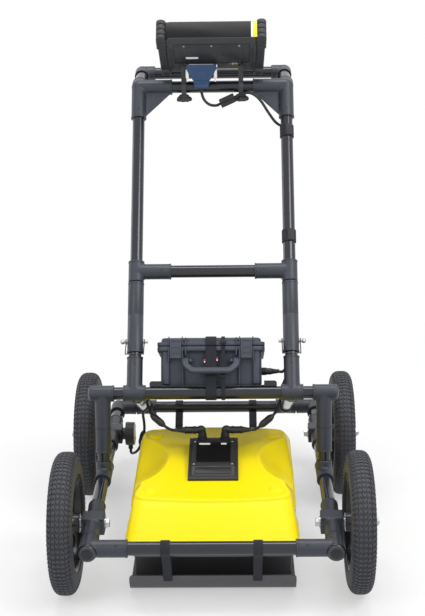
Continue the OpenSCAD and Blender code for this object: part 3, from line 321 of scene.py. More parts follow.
def moulded(name, color, roughness, tone=0.12, tone_scale=14.0, spread=0.08, grain=900.0,
            depth=0.0002, dust=0.0, coat=0.0, metallic=0.0, specular=0.5):
    """A finish with uneven tone and gloss; a depth gives it grain, and dust settles on it."""
    finish = bpy.data.materials.new(name)
    finish.use_nodes = True
    tree = finish.node_tree
    shader = tree.nodes["Principled BSDF"]
    where = tree.nodes.new("ShaderNodeTexCoord").outputs["Object"]
    toned = put_group(tree, tone_group, Vector=where, Color=(*color, 1), Amount=tone, Scale=tone_scale,
                      Roughness=roughness, Spread=spread)
    surface = toned.outputs["Color"]
    if dust:
        surface = put_group(tree, dust_group, Vector=where, Color=surface, Amount=dust).outputs["Color"]
    tree.links.new(surface, shader.inputs["Base Color"])
    tree.links.new(toned.outputs["Roughness"], shader.inputs["Roughness"])
    if depth:
        height = put_group(tree, grain_group, Vector=where, Scale=grain).outputs["Height"]
        tree.links.new(bump_node(tree, height, depth), shader.inputs["Normal"])
    for label, value in (("Metallic", metallic), ("Coat Weight", coat),
                         ("Coat Roughness", COAT_ROUGHNESS), ("Specular IOR Level", specular)):
        shader.inputs[label].default_value = value
    return finish


tube_gloss = moulded("tube_gloss", (0.010, 0.012, 0.019), 0.17, tone=0.2, depth=0.000006, grain=200,
                     coat=0.15)
fitting_matt = moulded("fitting_matt", (0.022, 0.027, 0.039), 0.4, dust=0.05, depth=0.00012)
rim_gloss = moulded("rim_gloss", (0.008, 0.008, 0.01), 0.22, tone=0.2, depth=0.00005, grain=400,
                    coat=0.1, specular=0.35)
base_matt = moulded("base_matt", (0.075, 0.075, 0.082), 0.6, dust=0.06, specular=0.35)
skid_sheet = moulded("skid_sheet", (0.085, 0.085, 0.094), 0.45, tone=0.18, tone_scale=30, dust=0.1)
case_texture = moulded("case_texture", (0.036, 0.043, 0.064), 0.5, dust=0.06, grain=1300, depth=0.00022,
                       specular=0.45)
module_coat = moulded("module_coat", (0.014, 0.014, 0.016), 0.42, dust=0.05, grain=1500,
                      depth=0.0001, specular=0.4)
plate_black = moulded("plate_black", (0.005, 0.005, 0.0055), 0.3, tone=0.15, depth=0.00002, specular=0.22)
housing_texture = moulded("housing_texture", (0.038, 0.041, 0.047), 0.48, dust=0.04, grain=1600,
                          specular=0.4)
panel_satin = moulded("panel_satin", (0.024, 0.026, 0.030), 0.36, grain=1200, depth=0.0001, specular=0.4)
grip_rubber = moulded("grip_rubber", (0.029, 0.032, 0.037), 0.55, dust=0.05, grain=1400, specular=0.4)
plug_rubber = moulded("plug_rubber", (0.013, 0.013, 0.015), 0.42, grain=1200, depth=0.00012,
                      specular=0.45)
lead_jacket = moulded("lead_jacket", (0.011, 0.011, 0.013), 0.4, tone_scale=60, depth=0.00005,
                      specular=0.4)
hood_blue = moulded("hood_blue", (0.011, 0.048, 0.13), 0.45, grain=1100, depth=0.00012)
tray_paint = moulded("tray_paint", (0.013, 0.014, 0.019), 0.4, dust=0.05, grain=700, depth=0.00008,
                     specular=0.35)
steel_bright = moulded("steel_bright", (0.46, 0.46, 0.46), 0.28, tone=0.16, tone_scale=90, spread=0.14,
                       grain=600, depth=0.00004, metallic=1.0)
steel_satin = moulded("steel_satin", (0.4, 0.4, 0.41), 0.36, tone=0.2, tone_scale=60, spread=0.15,
                      grain=500, depth=0.00005, metallic=1.0)
steel_black = moulded("steel_black", (0.06, 0.06, 0.062), 0.32, tone=0.2, tone_scale=80,
                      depth=0.00004, metallic=0.8)
paint_white = moulded("paint_white", (0.78, 0.78, 0.75), 0.4, tone=0.05, depth=0.00003)
paint_yellow = moulded("paint_yellow", (0.88, 0.62, 0.004), 0.4, tone=0.06, depth=0.00003)
tag_red = moulded("tag_red", (0.55, 0.01, 0.05), 0.6, depth=0.00008)
seal_soft = moulded("seal_soft", (0.01, 0.01, 0.011), 0.7)
brass_plate = moulded("brass_plate", (0.6, 0.42, 0.16), 0.35, metallic=1.0, depth=0.00003)
battery_wrap = moulded("battery_wrap", (0.05, 0.12, 0.3), 0.3, depth=0.00004, coat=0.3)
print("finishes:", len(bpy.data.materials))

# %% [markdown]
# The shell is the brightest thing in the picture: a satin, saturated yellow with hardly any dust.
# Tyres are dull and dusty, and the screen is a coated glass. Webbing starts as such a finish too, and
# then the weave gives it height, paints shade on its yarn between the threads and paints a little light on
# their backs.

# %% Shell, tyre, glass and webbing
shell_yellow = moulded("shell_yellow", (0.95, 0.755, 0.001), 0.36, tone=0.04, tone_scale=5, spread=0.05,
                       grain=1800, depth=0.00006, dust=0.02, specular=0.2)
tyre_rubber = moulded("tyre_rubber", (0.037, 0.039, 0.048), 0.62, tone=0.2, tone_scale=30, dust=0.1,
                      grain=700, depth=0.0003, specular=0.45)
screen_glass = moulded("screen_glass", (0.012, 0.015, 0.018), 0.07, tone=0.2, tone_scale=6, spread=0.03,
                       depth=0.0, coat=1.0)

WEAVE_HEIGHT = 0.0005
webbing = moulded("webbing", (0.009, 0.011, 0.018), 0.8, tone=0.2, tone_scale=80, depth=0.0)
tree = webbing.node_tree
shader = tree.nodes["Principled BSDF"]
uv = tree.nodes.new("ShaderNodeTexCoord").outputs["UV"]
woven = put_group(tree, weave_group, UV=uv, Pitch=WEAVE_PITCH)
yarn = shader.inputs["Base Color"].links[0].from_socket
# The yarn colour takes the weave's painted shade and light.
shaded = mix_node(tree, 1.0, yarn, woven.outputs["Shade"], "MULTIPLY")
tree.links.new(shaded, shader.inputs["Base Color"])
tree.links.new(bump_node(tree, woven.outputs["Height"], WEAVE_HEIGHT), shader.inputs["Normal"])
shader.inputs["Sheen Weight"].default_value = 0.02
print("webbing pitch", WEAVE_PITCH, "m")

# %% [markdown]
# ## Mesh tools
# Nearly every piece is one of three forms: a loft through closed loops, a profile turned on a
# lathe, or a section swept along a line. Small helpers make those in bmesh, in millimetres.

# %% Loft and lathe
def loft(bm, loops, place=Matrix(), finish=0, joined=False):
    """Faces through a row of loops with equal point counts, capped, or joined to a closed ring."""
    rings = [[bm.verts.new(place @ Vector(p)) for p in loop] for loop in loops]
    pairs = list(zip(rings, rings[1:] + rings[:1])) if joined else list(zip(rings, rings[1:]))
    faces = []
    for low, high in pairs:
        for i in range(len(low)):
            j = (i + 1) % len(low)
            faces.append(bm.faces.new((low[i], low[j], high[j], high[i])))
    if not joined:
        faces.append(bm.faces.new(rings[0][::-1]))
        faces.append(bm.faces.new(rings[-1]))
    for face in faces:
        face.material_index = finish


def circle(radius, z, steps):
    turn = 2 * math.pi / steps
    return [(radius * math.cos(i * turn), radius * math.sin(i * turn), z) for i in range(steps)]


LEAST_R = 0.01


def lathe(bm, profile, place=Matrix(), finish=0, steps=40, joined=False):
    """A profile of (radius, height) pairs turned round Z."""
    loft(bm, [circle(max(r, LEAST_R), z, steps) for r, z in profile], place, finish, joined)


def rounded_loop(w, d, r, z, steps=5):
    """A level rectangle at height z, w by d, with corners of radius r."""
    loop = []
    for cx, cy, start in ((1, 1, 0), (-1, 1, 90), (-1, -1, 180), (1, -1, 270)):
        for i in range(steps + 1):
            a = math.radians(start + 90 * i / steps)
            loop.append((cx * (w / 2 - r) + r * math.cos(a), cy * (d / 2 - r) + r * math.sin(a), z))
    return loop


def soft_block(bm, w, d, low, high, corner, edge, place, finish=0, steps=3):
    """A moulded block with round corners in plan and round edges."""
    loops = []
    for end in (0, 1):
        for i in range(steps + 1):
            a = math.radians(90 * (i if end == 0 else steps - i) / steps)
            inset = edge * (1 - math.sin(a))
            z = low + edge * (1 - math.cos(a)) if end == 0 else high - edge * (1 - math.cos(a))
            loops.append(rounded_loop(w - 2 * inset, d - 2 * inset, max(corner - inset, edge / 4), z))
    loft(bm, loops, place, finish)


def blocks(bm, place, rows, finish=0):
    """Soft blocks, a row each: width, depth, low, high, corner and edge, then its middle's x, y, z."""
    for w, d, low, high, corner, edge, *middle in rows:
        soft_block(bm, w, d, low, high, corner, edge, shifted(place, *middle), finish)


def prism(bm, outline, low, high, edge, place):
    """A flat outline raised along Z, with its edges bevelled."""
    before = set(bm.edges)
    loft(bm, [[(x, y, z) for x, y in outline] for z in (low, high)], place)
    fresh = [e for e in bm.edges if e not in before]
    bmesh.ops.bevel(bm, geom=fresh, offset=edge, segments=2, affect="EDGES", profile=0.5,
                    clamp_overlap=True, material=-1)


# %% Sweep and ribbon
PER_SPAN = 4


def smooth_line(points):
    """A smooth line through given points, with PER_SPAN steps between two of them."""
    line = []
    last = len(points) - 1
    for i in range(last):
        p0, p1 = points[max(i - 1, 0)], points[i]
        p2, p3 = points[i + 1], points[min(i + 2, last)]
        for k in range(PER_SPAN):
            t = k / PER_SPAN
            line.append(0.5 * (2 * p1 + (p2 - p0) * t + (2 * p0 - 5 * p1 + 4 * p2 - p3) * t * t
                               + (3 * p1 - p0 - 3 * p2 + p3) * t ** 3))
    return line + [points[last]]


def sweep(bm, line, section, hint=Vector((0, 0, 1))):
    """A closed section, points of (side, up), carried along a line without twisting."""
    loops, side = [], None
    for i, point in enumerate(line):
        ahead = (line[min(i + 1, len(line) - 1)] - line[max(i - 1, 0)]).normalized()
        if side is None:
            side = ahead.cross(hint if abs(ahead.dot(hint)) < 0.95 else Vector((0, 1, 0)))
        side = (side - ahead * side.dot(ahead)).normalized()
        above = side.cross(ahead)
        loops.append([point + x * side + y * above for x, y in section])
    loft(bm, loops)


def round_section(radius, sides=12):
    return [(x, y) for x, y, _ in circle(radius, 0, sides)]


def ribbon(bm, line, width, thick, across=Vector((1, 0, 0))):
    """Webbing along a line: a flat section with rounded selvedges, and UVs in metres."""
    uv_layer = bm.loops.layers.uv.verify()
    half, h = width / 2, thick / 2
    section = [(-half, 0), (-half + h, -h), (half - h, -h), (half, 0), (half - h, h), (-half + h, h)]
    rings, runs = [], [0.0]
    for i, point in enumerate(line):
        ahead = (line[min(i + 1, len(line) - 1)] - line[max(i - 1, 0)]).normalized()
        above = across.cross(ahead).normalized()
        rings.append([bm.verts.new(point + x * across + y * above) for x, y in section])
        if i:
            runs.append(runs[-1] + (point - line[i - 1]).length)
    for a in range(len(rings) - 1):
        for i in range(len(section)):
            j = (i + 1) % len(section)
            face = bm.faces.new((rings[a][i], rings[a][j], rings[a + 1][j], rings[a + 1][i]))
            for corner, (k, r) in zip(face.loops, ((i, a), (j, a), (j, a + 1), (i, a + 1))):
                corner[uv_layer].uv = ((section[k][0] + half) / METRE, runs[r] / METRE)
    for ring in (rings[0][::-1], rings[-1]):
        bm.faces.new(ring)


# %% [markdown]
# A finished mesh becomes a piece in one place: its normals are set, it is turned into metres, its
# edges stay sharp only where they turn by more than 35 degrees, it rides on its body, and it stands
# for its CAD nodes.

# %% Make a piece
SHARP = math.radians(35)


def smooth_mesh(bm, name, finishes):
    bmesh.ops.recalc_face_normals(bm, faces=bm.faces)
    bmesh.ops.scale(bm, vec=Vector((1, 1, 1)) / METRE, verts=bm.verts)
    mesh = bpy.data.meshes.new(name)
    bm.to_mesh(mesh)
    bm.free()
    for finish in finishes:
        mesh.materials.append(finish)
    mesh.shade_smooth()
    mesh.set_sharp_from_angle(angle=SHARP)
    return mesh


def settle(mesh, name, body, stands_for, place=None):
    """Put a mesh in the scene as a piece with its body and the CAD nodes it stands for."""
    piece = put_in_scene(name, mesh)
    if place is not None:
        piece.matrix_world = place
    if body:
        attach(piece, body)
    if stands_for:
        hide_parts(*stands_for)
    return piece


def baked(thing, name):
    """The mesh that an object's modifiers give; the object itself goes."""
    mesh = bpy.data.meshes.new_from_object(thing.evaluated_get(bpy.context.evaluated_depsgraph_get()))
    bpy.data.objects.remove(thing)
    mesh.name = name
    return mesh


def make(bm, name, finishes, body, stands_for=()):
    piece = settle(smooth_mesh(bm, name, finishes), name, body, stands_for)
    print(name, len(piece.data.polygons), "faces on", body)
    return piece


# %% [markdown]
# ## Leads
# There are four leads: the display's runs down behind the right upright to a splitter,
# the module's right lead and the battery's lead join it there, and the module's left lead runs
# under the left brace to the odometer. Their routes are the CAD's, measured from the middle
# of the wheelbase, with ferrite beads where the photograph shows them.

# %% Lead routes
LEAD_R = 3.5
FERRITE_R = 8.5
FERRITE_OVER = 3
LEAD_BACK = 24


def route(*points):
    return [Vector((x, MID_Y + y, z)) for x, y, z in points]


display_low = route((-27, 466, 997), (-27, 465, 988), (-21, 464, 970), (-8, 462, 958), (8, 462, 955),
                    (22, 463, 960))
display_high = route((54, 464, 974), (66, 465, 980), (82, 467, 985), (100, 468, 983), (120, 467, 967),
                     (142, 463, 934), (158, 464, 912), (172, 464, 902))
upright_run = [shifted(handle, HANDLE_X) @ Vector((0, LEAD_BACK, up_by))
               for up_by in (690, 640, 560, 480, 400, 320, 250, 204)]
power_run = route((158.3, 111, 373), (166, 111, 373), (179, 118, 386), (189, 134, 416),
                  (190.5, 150, 448), (190.5, 164, 471))
right_low = route((89.3, 42, 252), (97, 42, 252), (104, 44, 255), (112, 47, 260))
right_high = route((139, 56, 280), (148, 66, 288), (156, 82, 298), (161, 100, 312), (165, 110, 334),
                   (173, 117, 354), (179, 128, 388), (180.5, 141, 425), (181.5, 153, 452), (181.5, 164, 471))
left_low = route((-89.3, 42, 252), (-97, 42, 252), (-108, 45, 255), (-120, 50, 262))
left_mid = route((-147, 62, 282), (-154, 74, 291), (-160, 87, 303), (-163, 100, 305), (-163, 112, 299),
                 (-163, 140, 284.5), (-163, 180, 265), (-165, 222, 244), (-173, 244, 222),
                 (-183, 262, 206), (-185, 272, 190), (-184, 280, 172), (-184, 286, 152), (-186, 288, 138))
left_high = route((-194, 285, 107), (-200, 277, 96), (-206, 268, 92), (-212, 258, 93), (-216, 248, 98),
                  (-217, 240, 106), (-217, 240, 114.7))
print("display lead starts at", [round(v, 1) for v in display_low[0]])

# %% Leads and ferrites
def along_line(a, b):
    """A place at a whose Z axis runs to b."""
    return Matrix.Translation(a) @ (b - a).to_track_quat("Z", "Y").to_matrix().to_4x4()


def ferrite(bm, a, b):
    """A moulded bead round a lead, with a bevelled body, a seam line and tapered ends."""
    reach = (b - a).length + 2 * FERRITE_OVER
    half = [(LEAD_R + 0.2, 0), (LEAD_R + 1.2, 0), (LEAD_R + 2.4, 0.05), (FERRITE_R - 1, 0.16),
            (FERRITE_R, 0.22), (FERRITE_R, 0.49)]
    other_half = [(r, 1 - share) for r, share in reversed(half)]
    profile = [(r, share * reach) for r, share in half + [(FERRITE_R - 0.5, 0.5)] + other_half]
    lathe(bm, profile, shifted(along_line(a, b), z=-FERRITE_OVER), steps=24)


def box_ferrite(bm, a, b):
    """A clip-on ferrite: two moulded halves with a seam between them."""
    half = (b - a).length / 2 + 2
    blocks(bm, along_line((a + b) / 2, b), [
        (21, 10.2, -half, half, 2.4, 1.6, 0, -5.3), (21, 10.2, -half, half, 2.4, 1.6, 0, 5.3),
        (17, 16, 3 - half, half - 3, 2, 1)])


def lead(name, points, beads, body, moves_with=None, bead=ferrite):
    """One lead and its beads; given moves_with, both are baked in place, and the bodies it names are not
    used.
    """
    line = smooth_line(points)
    bm = bmesh.new()
    sweep(bm, line, round_section(LEAD_R))
    cord = make(bm, name, [lead_jacket], body)
    on_it = []
    if beads:
        bm = bmesh.new()
        for a, b in beads:
            bead(bm, a, b)
        on_it = [make(bm, name + "_ferrites", [plug_rubber], body)]
    if moves_with:
        for piece in [cord, *on_it]:
            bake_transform(piece)
    return cord


display_lead = lead("display_lead_cord", display_low + display_high + upright_run,
                    [(display_low[-1], display_high[0])],
                    None, ("display", "frame"), box_ferrite)
right_lead = lead("module_lead_right", right_low + right_high, [(right_low[-1], right_high[0])],
                  None, ("antenna", "frame"))
lead("module_lead_left", left_low + left_mid + left_high,
     [(left_low[-1], left_mid[0]), (left_mid[-1], left_high[0])],
     None, ("antenna", "frame"))
power_lead = lead("battery_lead", power_run, [], "frame")
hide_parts("display_lead")
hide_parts("sensor_leads")
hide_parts("frame_leads")

bm = bmesh.new()
splitter = shifted(handle, HANDLE_X, LEAD_BACK)
blocks(bm, splitter, [(22, 9, 165, 205, 3, 1.5)])
for x in (-4.5, 4.5):
    lathe(bm, [(LEAD_R + 1.4, 158), (LEAD_R + 2.2, 166)], shifted(splitter, x))
lathe(bm, [(LEAD_R + 2.2, 204), (LEAD_R + 1.2, 214)], splitter)
make(bm, "lead_splitter", [plug_rubber], "frame")

# %% [markdown]
# ## Wheels
# The tyre is a soft carcass with seven rows of small chevron blocks. A bump map would leave its
# outline smooth, and the photograph shows the blocks on the outline, so each block is a solid.
# One mesh serves all four wheels. The blocks end at the CAD's outer radius.

# %% Tyre carcass
TREAD_H, TREAD_SUNK, TREAD_TAPER = 2.0, 0.6, 0.35
TREAD_COUNT = 84
TREAD_ROWS = (-27, -18, -9, 0, 9, 18, 27)
ROW_HALF = 4.1
CHEVRON = 4.5
BLOCK_SHARE = 0.66
TO_AXLE = Matrix.Rotation(math.radians(90), 4, "Y")


def carcass_point(t):
    """Half-turn t of the section, in degrees, from one bead over the crown to the other."""
    c, s = math.cos(math.radians(t)), math.sin(math.radians(t))
    crown = WHEEL_R - TREAD_H
    return (RIM_R + (crown - RIM_R) * max(s, 0) ** 0.7, math.copysign(TYRE_W / 2 * abs(c) ** 0.6, c))


SECTION_STEPS = 120
SIDE_RINGS = (14, 17, 22, 98, 103, 106)
RING_SWELL = 0.7
section = [carcass_point(180 * i / SECTION_STEPS) for i in range(SECTION_STEPS + 1)]
carcass = []
for i, (r, x) in enumerate(section):
    swell = RING_SWELL if i in SIDE_RINGS else 0.0
    if i % 3 == 0 or swell:
        carcass.append((r, x + math.copysign(swell, x)))
bead_in = [(RIM_R - 3, -TYRE_W / 2 + 5), (RIM_R - 3, TYRE_W / 2 - 5)]
bm = bmesh.new()
lathe(bm, carcass + bead_in, TO_AXLE, steps=96, joined=True)
print("carcass section of", len(carcass), "points")

# %% Tread blocks
crown_at = len(section) // 2


def on_carcass(turn, across, height):
    """A point at an angle round the wheel, a distance across the crown and a height over it."""
    step = 1 if across >= 0 else -1
    i, left = crown_at, abs(across)
    while True:
        (r0, x0), (r1, x1) = section[i], section[i - step]
        span = math.hypot(r1 - r0, x1 - x0)
        if span >= left:
            break
        left -= span
        i -= step
    share = left / span
    tr, tx = (r1 - r0) / span, (x1 - x0) / span
    nr, nx = (tx, -tr) if step > 0 else (-tx, tr)
    r = r0 + (r1 - r0) * share + nr * height
    x = x0 + (x1 - x0) * share + nx * height
    return TO_AXLE @ Vector((r * math.cos(turn), r * math.sin(turn), x))


def tread_block(bm, turn, row, flip):
    """One chevron: three pairs of points, low under the carcass and high at the tread."""
    pitch = 2 * math.pi / TREAD_COUNT
    corners = []
    for height, taper in ((-TREAD_SUNK, 0.0), (TREAD_H, TREAD_TAPER)):
        for side in (-1, 0, 1):
            nose = CHEVRON * (1 - abs(side)) * flip
            for end in (0, 1):
                run = (end - 0.5) * (BLOCK_SHARE * pitch * WHEEL_R - 2 * taper) + nose
                across = row + side * (ROW_HALF - taper)
                corners.append(bm.verts.new(on_carcass(turn + run / WHEEL_R, across, height)))
    for top in (0, 6):
        for a, b in ((0, 2), (2, 4)):
            bm.faces.new([corners[top + k] for k in (a, b, b + 1, a + 1)])
    rim = (0, 2, 4, 5, 3, 1)
    for a, b in zip(rim, rim[1:] + rim[:1]):
        bm.faces.new([corners[k] for k in (a, b, b + 6, a + 6)])


for row_index, row in enumerate(TREAD_ROWS):
    for k in range(TREAD_COUNT):
        turn = 2 * math.pi * (k + 0.5 * (row_index % 2)) / TREAD_COUNT
        tread_block(bm, turn, row, 1 if row == 0 or row_index % 2 else -1)
tyre_mesh = smooth_mesh(bm, "tyre_tread", [tyre_rubber])
print("tyre has", TREAD_COUNT * len(TREAD_ROWS), "tread blocks")

# %% [markdown]
# The rim is a glossy black moulding: a dropped ring, five spokes that flare where they meet it,
# and a hub. Its flanges are round and glossy, and they pick up the shell's yellow as a thin line.

# %% Rims
SPOKES = 5
bm = bmesh.new()
ring = [(107.7, -21.6), (107.7, 21.6), (103, 22), (99, 20), (97.2, 14), (94.6, 5), (94.6, -5), (97.2, -14),
        (99, -20), (103, -22)]
lathe(bm, ring, TO_AXLE, steps=96, joined=True)
flange = [(101.2, 21.4), (101.6, 22.6), (104, 23.4), (107, 23.6), (107.6, 22.4), (106, 21.4)]
for side in (-1, 1):
    lathe(bm, [(r, side * z) for r, z in flange], TO_AXLE, steps=96, joined=True)
hub = [(14.2, -29.8), (19.5, -29.8), (21, -28.6), (21.6, -20), (24, -13), (27, -9), (27, 9), (24, 13),
       (21.6, 20), (21, 28.6), (19.5, 29.8), (14.2, 29.8)]
lathe(bm, hub, TO_AXLE, steps=48, joined=True)
spoke = [(19, 24, 18), (27, 24, 17), (38, 21, 14), (60, 20, 12.5), (80, 23, 13), (91, 29, 15), (99, 38, 17)]
for k in range(SPOKES):
    spoke_at = TO_AXLE @ Matrix.Rotation(2 * math.pi * (k + 0.5) / SPOKES, 4, "Z")
    loops = [[(reach, u, v) for u, v, _ in rounded_loop(w, t, 5, 0, 3)] for reach, w, t in spoke]
    loft(bm, loops, spoke_at)
rim_mesh = smooth_mesh(bm, "rim_spokes", [rim_gloss])
for end in ("front", "rear"):
    for hand in ("left", "right"):
        wheel = f"{end}_{hand}"
        place = Matrix.Translation(joint_at[wheel + "_spin"] / METRE)
        settle(tyre_mesh, "tread_" + wheel, "wheel_" + wheel, ["tyre_" + wheel], place)
        settle(rim_mesh, "spokes_" + wheel, "wheel_" + wheel, ["rim_" + wheel], place)
print("four wheels with", SPOKES, "spokes each")

# %% [markdown]
# ## Fittings
# The tubes go into moulded tees and elbows. Their arms meet in soft fillets, which are slow to
# model by hand. A voxel remesh of the CAD solid melts the arms together, and a few rounds of
# smoothing turn each crease into a fillet. Lips and screws are then added as solids.

# %% Soft fittings
VOXEL = 1.7
SMOOTH_ROUNDS = 7
KEPT_FACES_SHARE = 0.3


def softened(node, finish):
    """A copy of a CAD node with its creases filleted, as a moulding has them."""
    name = node + "_moulding"
    piece = put_in_scene(name, nodes[node].data.copy())
    remesh = piece.modifiers.new("voxels", "REMESH")
    remesh.mode = "VOXEL"
    remesh.voxel_size = VOXEL / METRE
    relax = piece.modifiers.new("relax", "SMOOTH")
    relax.factor = 0.5
    relax.iterations = SMOOTH_ROUNDS
    thin = piece.modifiers.new("thin", "DECIMATE")
    thin.ratio = KEPT_FACES_SHARE
    made = baked(piece, name)
    made.materials.clear()
    made.materials.append(finish)
    made.shade_smooth()
    settle(made, name, nodes[node]["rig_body"], [node])
    print(name, len(made.polygons), "faces")


for node in ("front_corner_fittings", "axle_blocks", "post_fittings", "rear_fittings", "handle_base_tees",
             "handle_mid_tees", "handle_corner_fittings", "push_bar_elbows"):
    softened(node, fitting_matt)

# %% Lips, seams and screws
LIP_BAND, LIP_LIFT = 4.0, 0.7
SCREW = [(2.6, -1), (2.6, 0.4), (2.1, 1.1), (1.0, 1.4)]


def lip(bm, place, at, radius):
    """A rounded collar on a fitting's arm, where a tube leaves it at a height along Z."""
    bore, proud, end = TUBE_R + 0.3, radius + LIP_LIFT, at + 0.2 * LIP_BAND
    profile = [(bore, end), (radius - 0.4, end), (proud, at + 0.05 * LIP_BAND), (proud, at - 0.8 * LIP_BAND),
               (radius - 0.2, at - LIP_BAND), (bore, at - LIP_BAND)]
    lathe(bm, profile, place, joined=True)


def screw(bm, place, finish=0):
    """A small pan-head screw, its head along Z."""
    lathe(bm, SCREW, place, finish, 16)


def along(place, axis):
    """The same place with Z turned to a signed axis name, such as -X."""
    turns = {"+X": ("Y", 90), "-X": ("Y", -90), "+Y": ("X", -90), "-Y": ("X", 90)}
    name, angle = turns[axis]
    return place @ Matrix.Rotation(math.radians(angle), 4, name)


# %% [markdown]
# A collar sits where a tube leaves a fitting. Each row of the list below says where an arm starts and
# which way it points, how long it is, and how thick.

# %% Place the lips and screws
CAP = [(18, 16.4), (18, 18), (20.4, 18.2), (20.6, 19), (20.3, 20.6), (18.9, 23.2), (16.2, 25.6),
       (12.4, 27.5), (7.6, 28.8), (3, 29.25), (0.01, 29.3)]
SEAM = [(18.3, 81.2), (19.1, 81.2), (19.1, 82.6), (18.3, 82.6)]
POST_FOOT_Y = 5
MID_TEE_UP = 302
bm = bmesh.new()
screws = bmesh.new()
for side, inward in ((-1, "+X"), (1, "-X")):
    rail = Matrix.Translation((side * RAIL_X, MID_Y, AXLE_Z))
    foot = shifted(rail, y=POST_FOOT_Y)
    corner = Matrix.Translation((side * RAIL_X, FRONT_BAR_Y, AXLE_Z))
    rear = Matrix.Translation((side * RAIL_X, REAR_BAR_Y, AXLE_Z))
    brace_foot = Matrix.Translation((side * HANDLE_X, REAR_BAR_Y, AXLE_Z))
    post_head = Matrix.Translation((side * RAIL_X, *upper_bar.yz))
    base = Matrix.Translation((side * HANDLE_X, *upper_bar.yz))
    top = Matrix.Translation((side * HANDLE_X, *top_bar.yz))
    post = leaning(post_head.translation, 180 + POST_LEAN)
    upright = shifted(handle, side * HANDLE_X)
    mid_tee = shifted(upright, z=MID_TEE_UP)
    arms = [(along(corner, inward), 83, STEM_R), (along(corner, "+Y"), 36, SLEEVE_R),
            (along(foot, "-Y"), 40, SLEEVE_R), (along(foot, "+Y"), 40, SLEEVE_R),
            (post, 140, STEM_R), (along(post_head, inward), 26, SLEEVE_R),
            (along(rear, "-Y"), 45, SLEEVE_R), (along(rear, inward), 45, STEM_R),
            (leaning(brace_foot.translation, BRACE_DROP - 90), 42, STEM_R),
            (leaning(base.translation, BRACE_DROP + 90), 42, STEM_R),
            (upright, 87, STEM_R), (upright, 326.5, SLEEVE_R), (along(mid_tee, inward), 84, STEM_R),
            (leaning(top.translation, 180 + HANDLE_LEAN), 87, STEM_R), (along(top, inward), 83, SLEEVE_R),
            (leaning(top.translation, 90 - PUSH_RISE), 30, STEM_R)]
    for axle_y in (-HALF_BASE, HALF_BASE):
        axle = shifted(rail, y=axle_y)
        arms += [(along(axle, "-Y"), 76, SLEEVE_R), (along(axle, "+Y"), 77, SLEEVE_R)]
    for axis in ("+X", "-X"):
        arms += [(along(brace_foot, axis), 25.5, SLEEVE_R), (along(base, axis), 25.5, SLEEVE_R)]
    for place, reach, radius in arms:
        lip(bm, place, reach, radius)
    lathe(bm, CAP, along(corner, "-Y"), 1)
    lathe(bm, SEAM, post, 2, joined=True)
    for place in (shifted(upright, 0, -STEM_R, 729), shifted(upright, 0, -STEM_R, 70),
                  shifted(mid_tee, -side * 62, -STEM_R), shifted(top, -side * 62, -13.4, -13.4),
                  shifted(corner, -side * 60, -13.3, 13.3), shifted(base, 0, -13.4, -13.4)):
        screw(screws, along(place, "-Y"))
make(bm, "fitting_lips", [fitting_matt, rim_gloss, seal_soft], "frame")
make(screws, "fitting_screws", [steel_black], "frame")

# %% Handle sleeves
sleeve = [(15.2, 97.6), (17.6, 97.2), (19.7, 98.6), (19.7, 102.5), (19, 103.4), (19, 190), (18.7, 190.6),
          (19, 191.2), (19, 268), (19.6, 268.8), (19.6, 272.6), (18.4, 273.3), (15.2, 273.3)]
bm = bmesh.new()
for side in (-1, 1):
    lathe(bm, sleeve, shifted(handle, side * HANDLE_X), joined=True, steps=48)
make(bm, "handle_sleeve_mouldings", [fitting_matt], "frame", ["handle_sleeves"])

# %% [markdown]
# ## Antenna
# The yellow shell is the main form: a long low hood whose sides are hollowed by two round
# pockets, so the deck has a waist. It is lofted through plan outlines from the rim up to the deck.
# Each outline is a rounded rectangle with a bow at its ends, and where the pocket's sphere reaches
# in, the outline follows the sphere with a soft edge.

# %% Shell outlines
ANTENNA_W, ANTENNA_L = 376, 600
RIM_Z, DECK_Z = 122, 200
DECK_W_SHARE, DECK_L_SHARE = 0.93, 0.62
SCOOP_R = 137
SCOOP_X = ANTENNA_W / 2 + 38
SCOOP_Z = DECK_Z + 70
SCOOP_Y = 25
SCOOP_FRONT_SHARE = 0.77
NOTCH, NOTCH_Y, NOTCH_L = 9, -116, 24
PLAN_CORNER, LEAST_CORNER = 24, 6
DECK_BOW = 16
SCOOP_EDGE, LEAST_WAIST = 9, 60
CORNER_STEPS, END_STEPS, SIDE_STEPS = 8, 18, 72


def scoop_limit(y, z):
    """How far out the pocket lets the side be, at this y and height; its front half is drawn out."""
    reach = y - SCOOP_Y
    if reach < 0:
        reach *= SCOOP_FRONT_SHARE
    room = SCOOP_R ** 2 - (z - SCOOP_Z) ** 2 - reach ** 2
    return SCOOP_X - math.sqrt(room) if room > 0 else SCOOP_X


def soft_min(a, b, blend):
    """The smaller of two sizes, rounded off where they are nearly the same."""
    h = max(blend - abs(a - b), 0) / blend
    return min(a, b) - h * h * blend / 4


def shell_plan(half_w, half_l, r):
    """A rounded rectangle with even steps round its corners and along its sides."""
    plan = []
    for k, (cx, cy) in enumerate(((1, 1), (-1, 1), (-1, -1), (1, -1))):
        for i in range(CORNER_STEPS + 1):
            a = math.radians(90 * (k + i / CORNER_STEPS))
            plan.append((cx * (half_w - r) + r * math.cos(a), cy * (half_l - r) + r * math.sin(a)))
        x0, y0 = plan[-1]
        steps = SIDE_STEPS if k % 2 else END_STEPS
        x1, y1 = (x0, -y0) if k % 2 else (-x0, y0)
        plan += [(x0 + (x1 - x0) * i / steps, y0 + (y1 - y0) * i / steps) for i in range(1, steps)]
    return plan


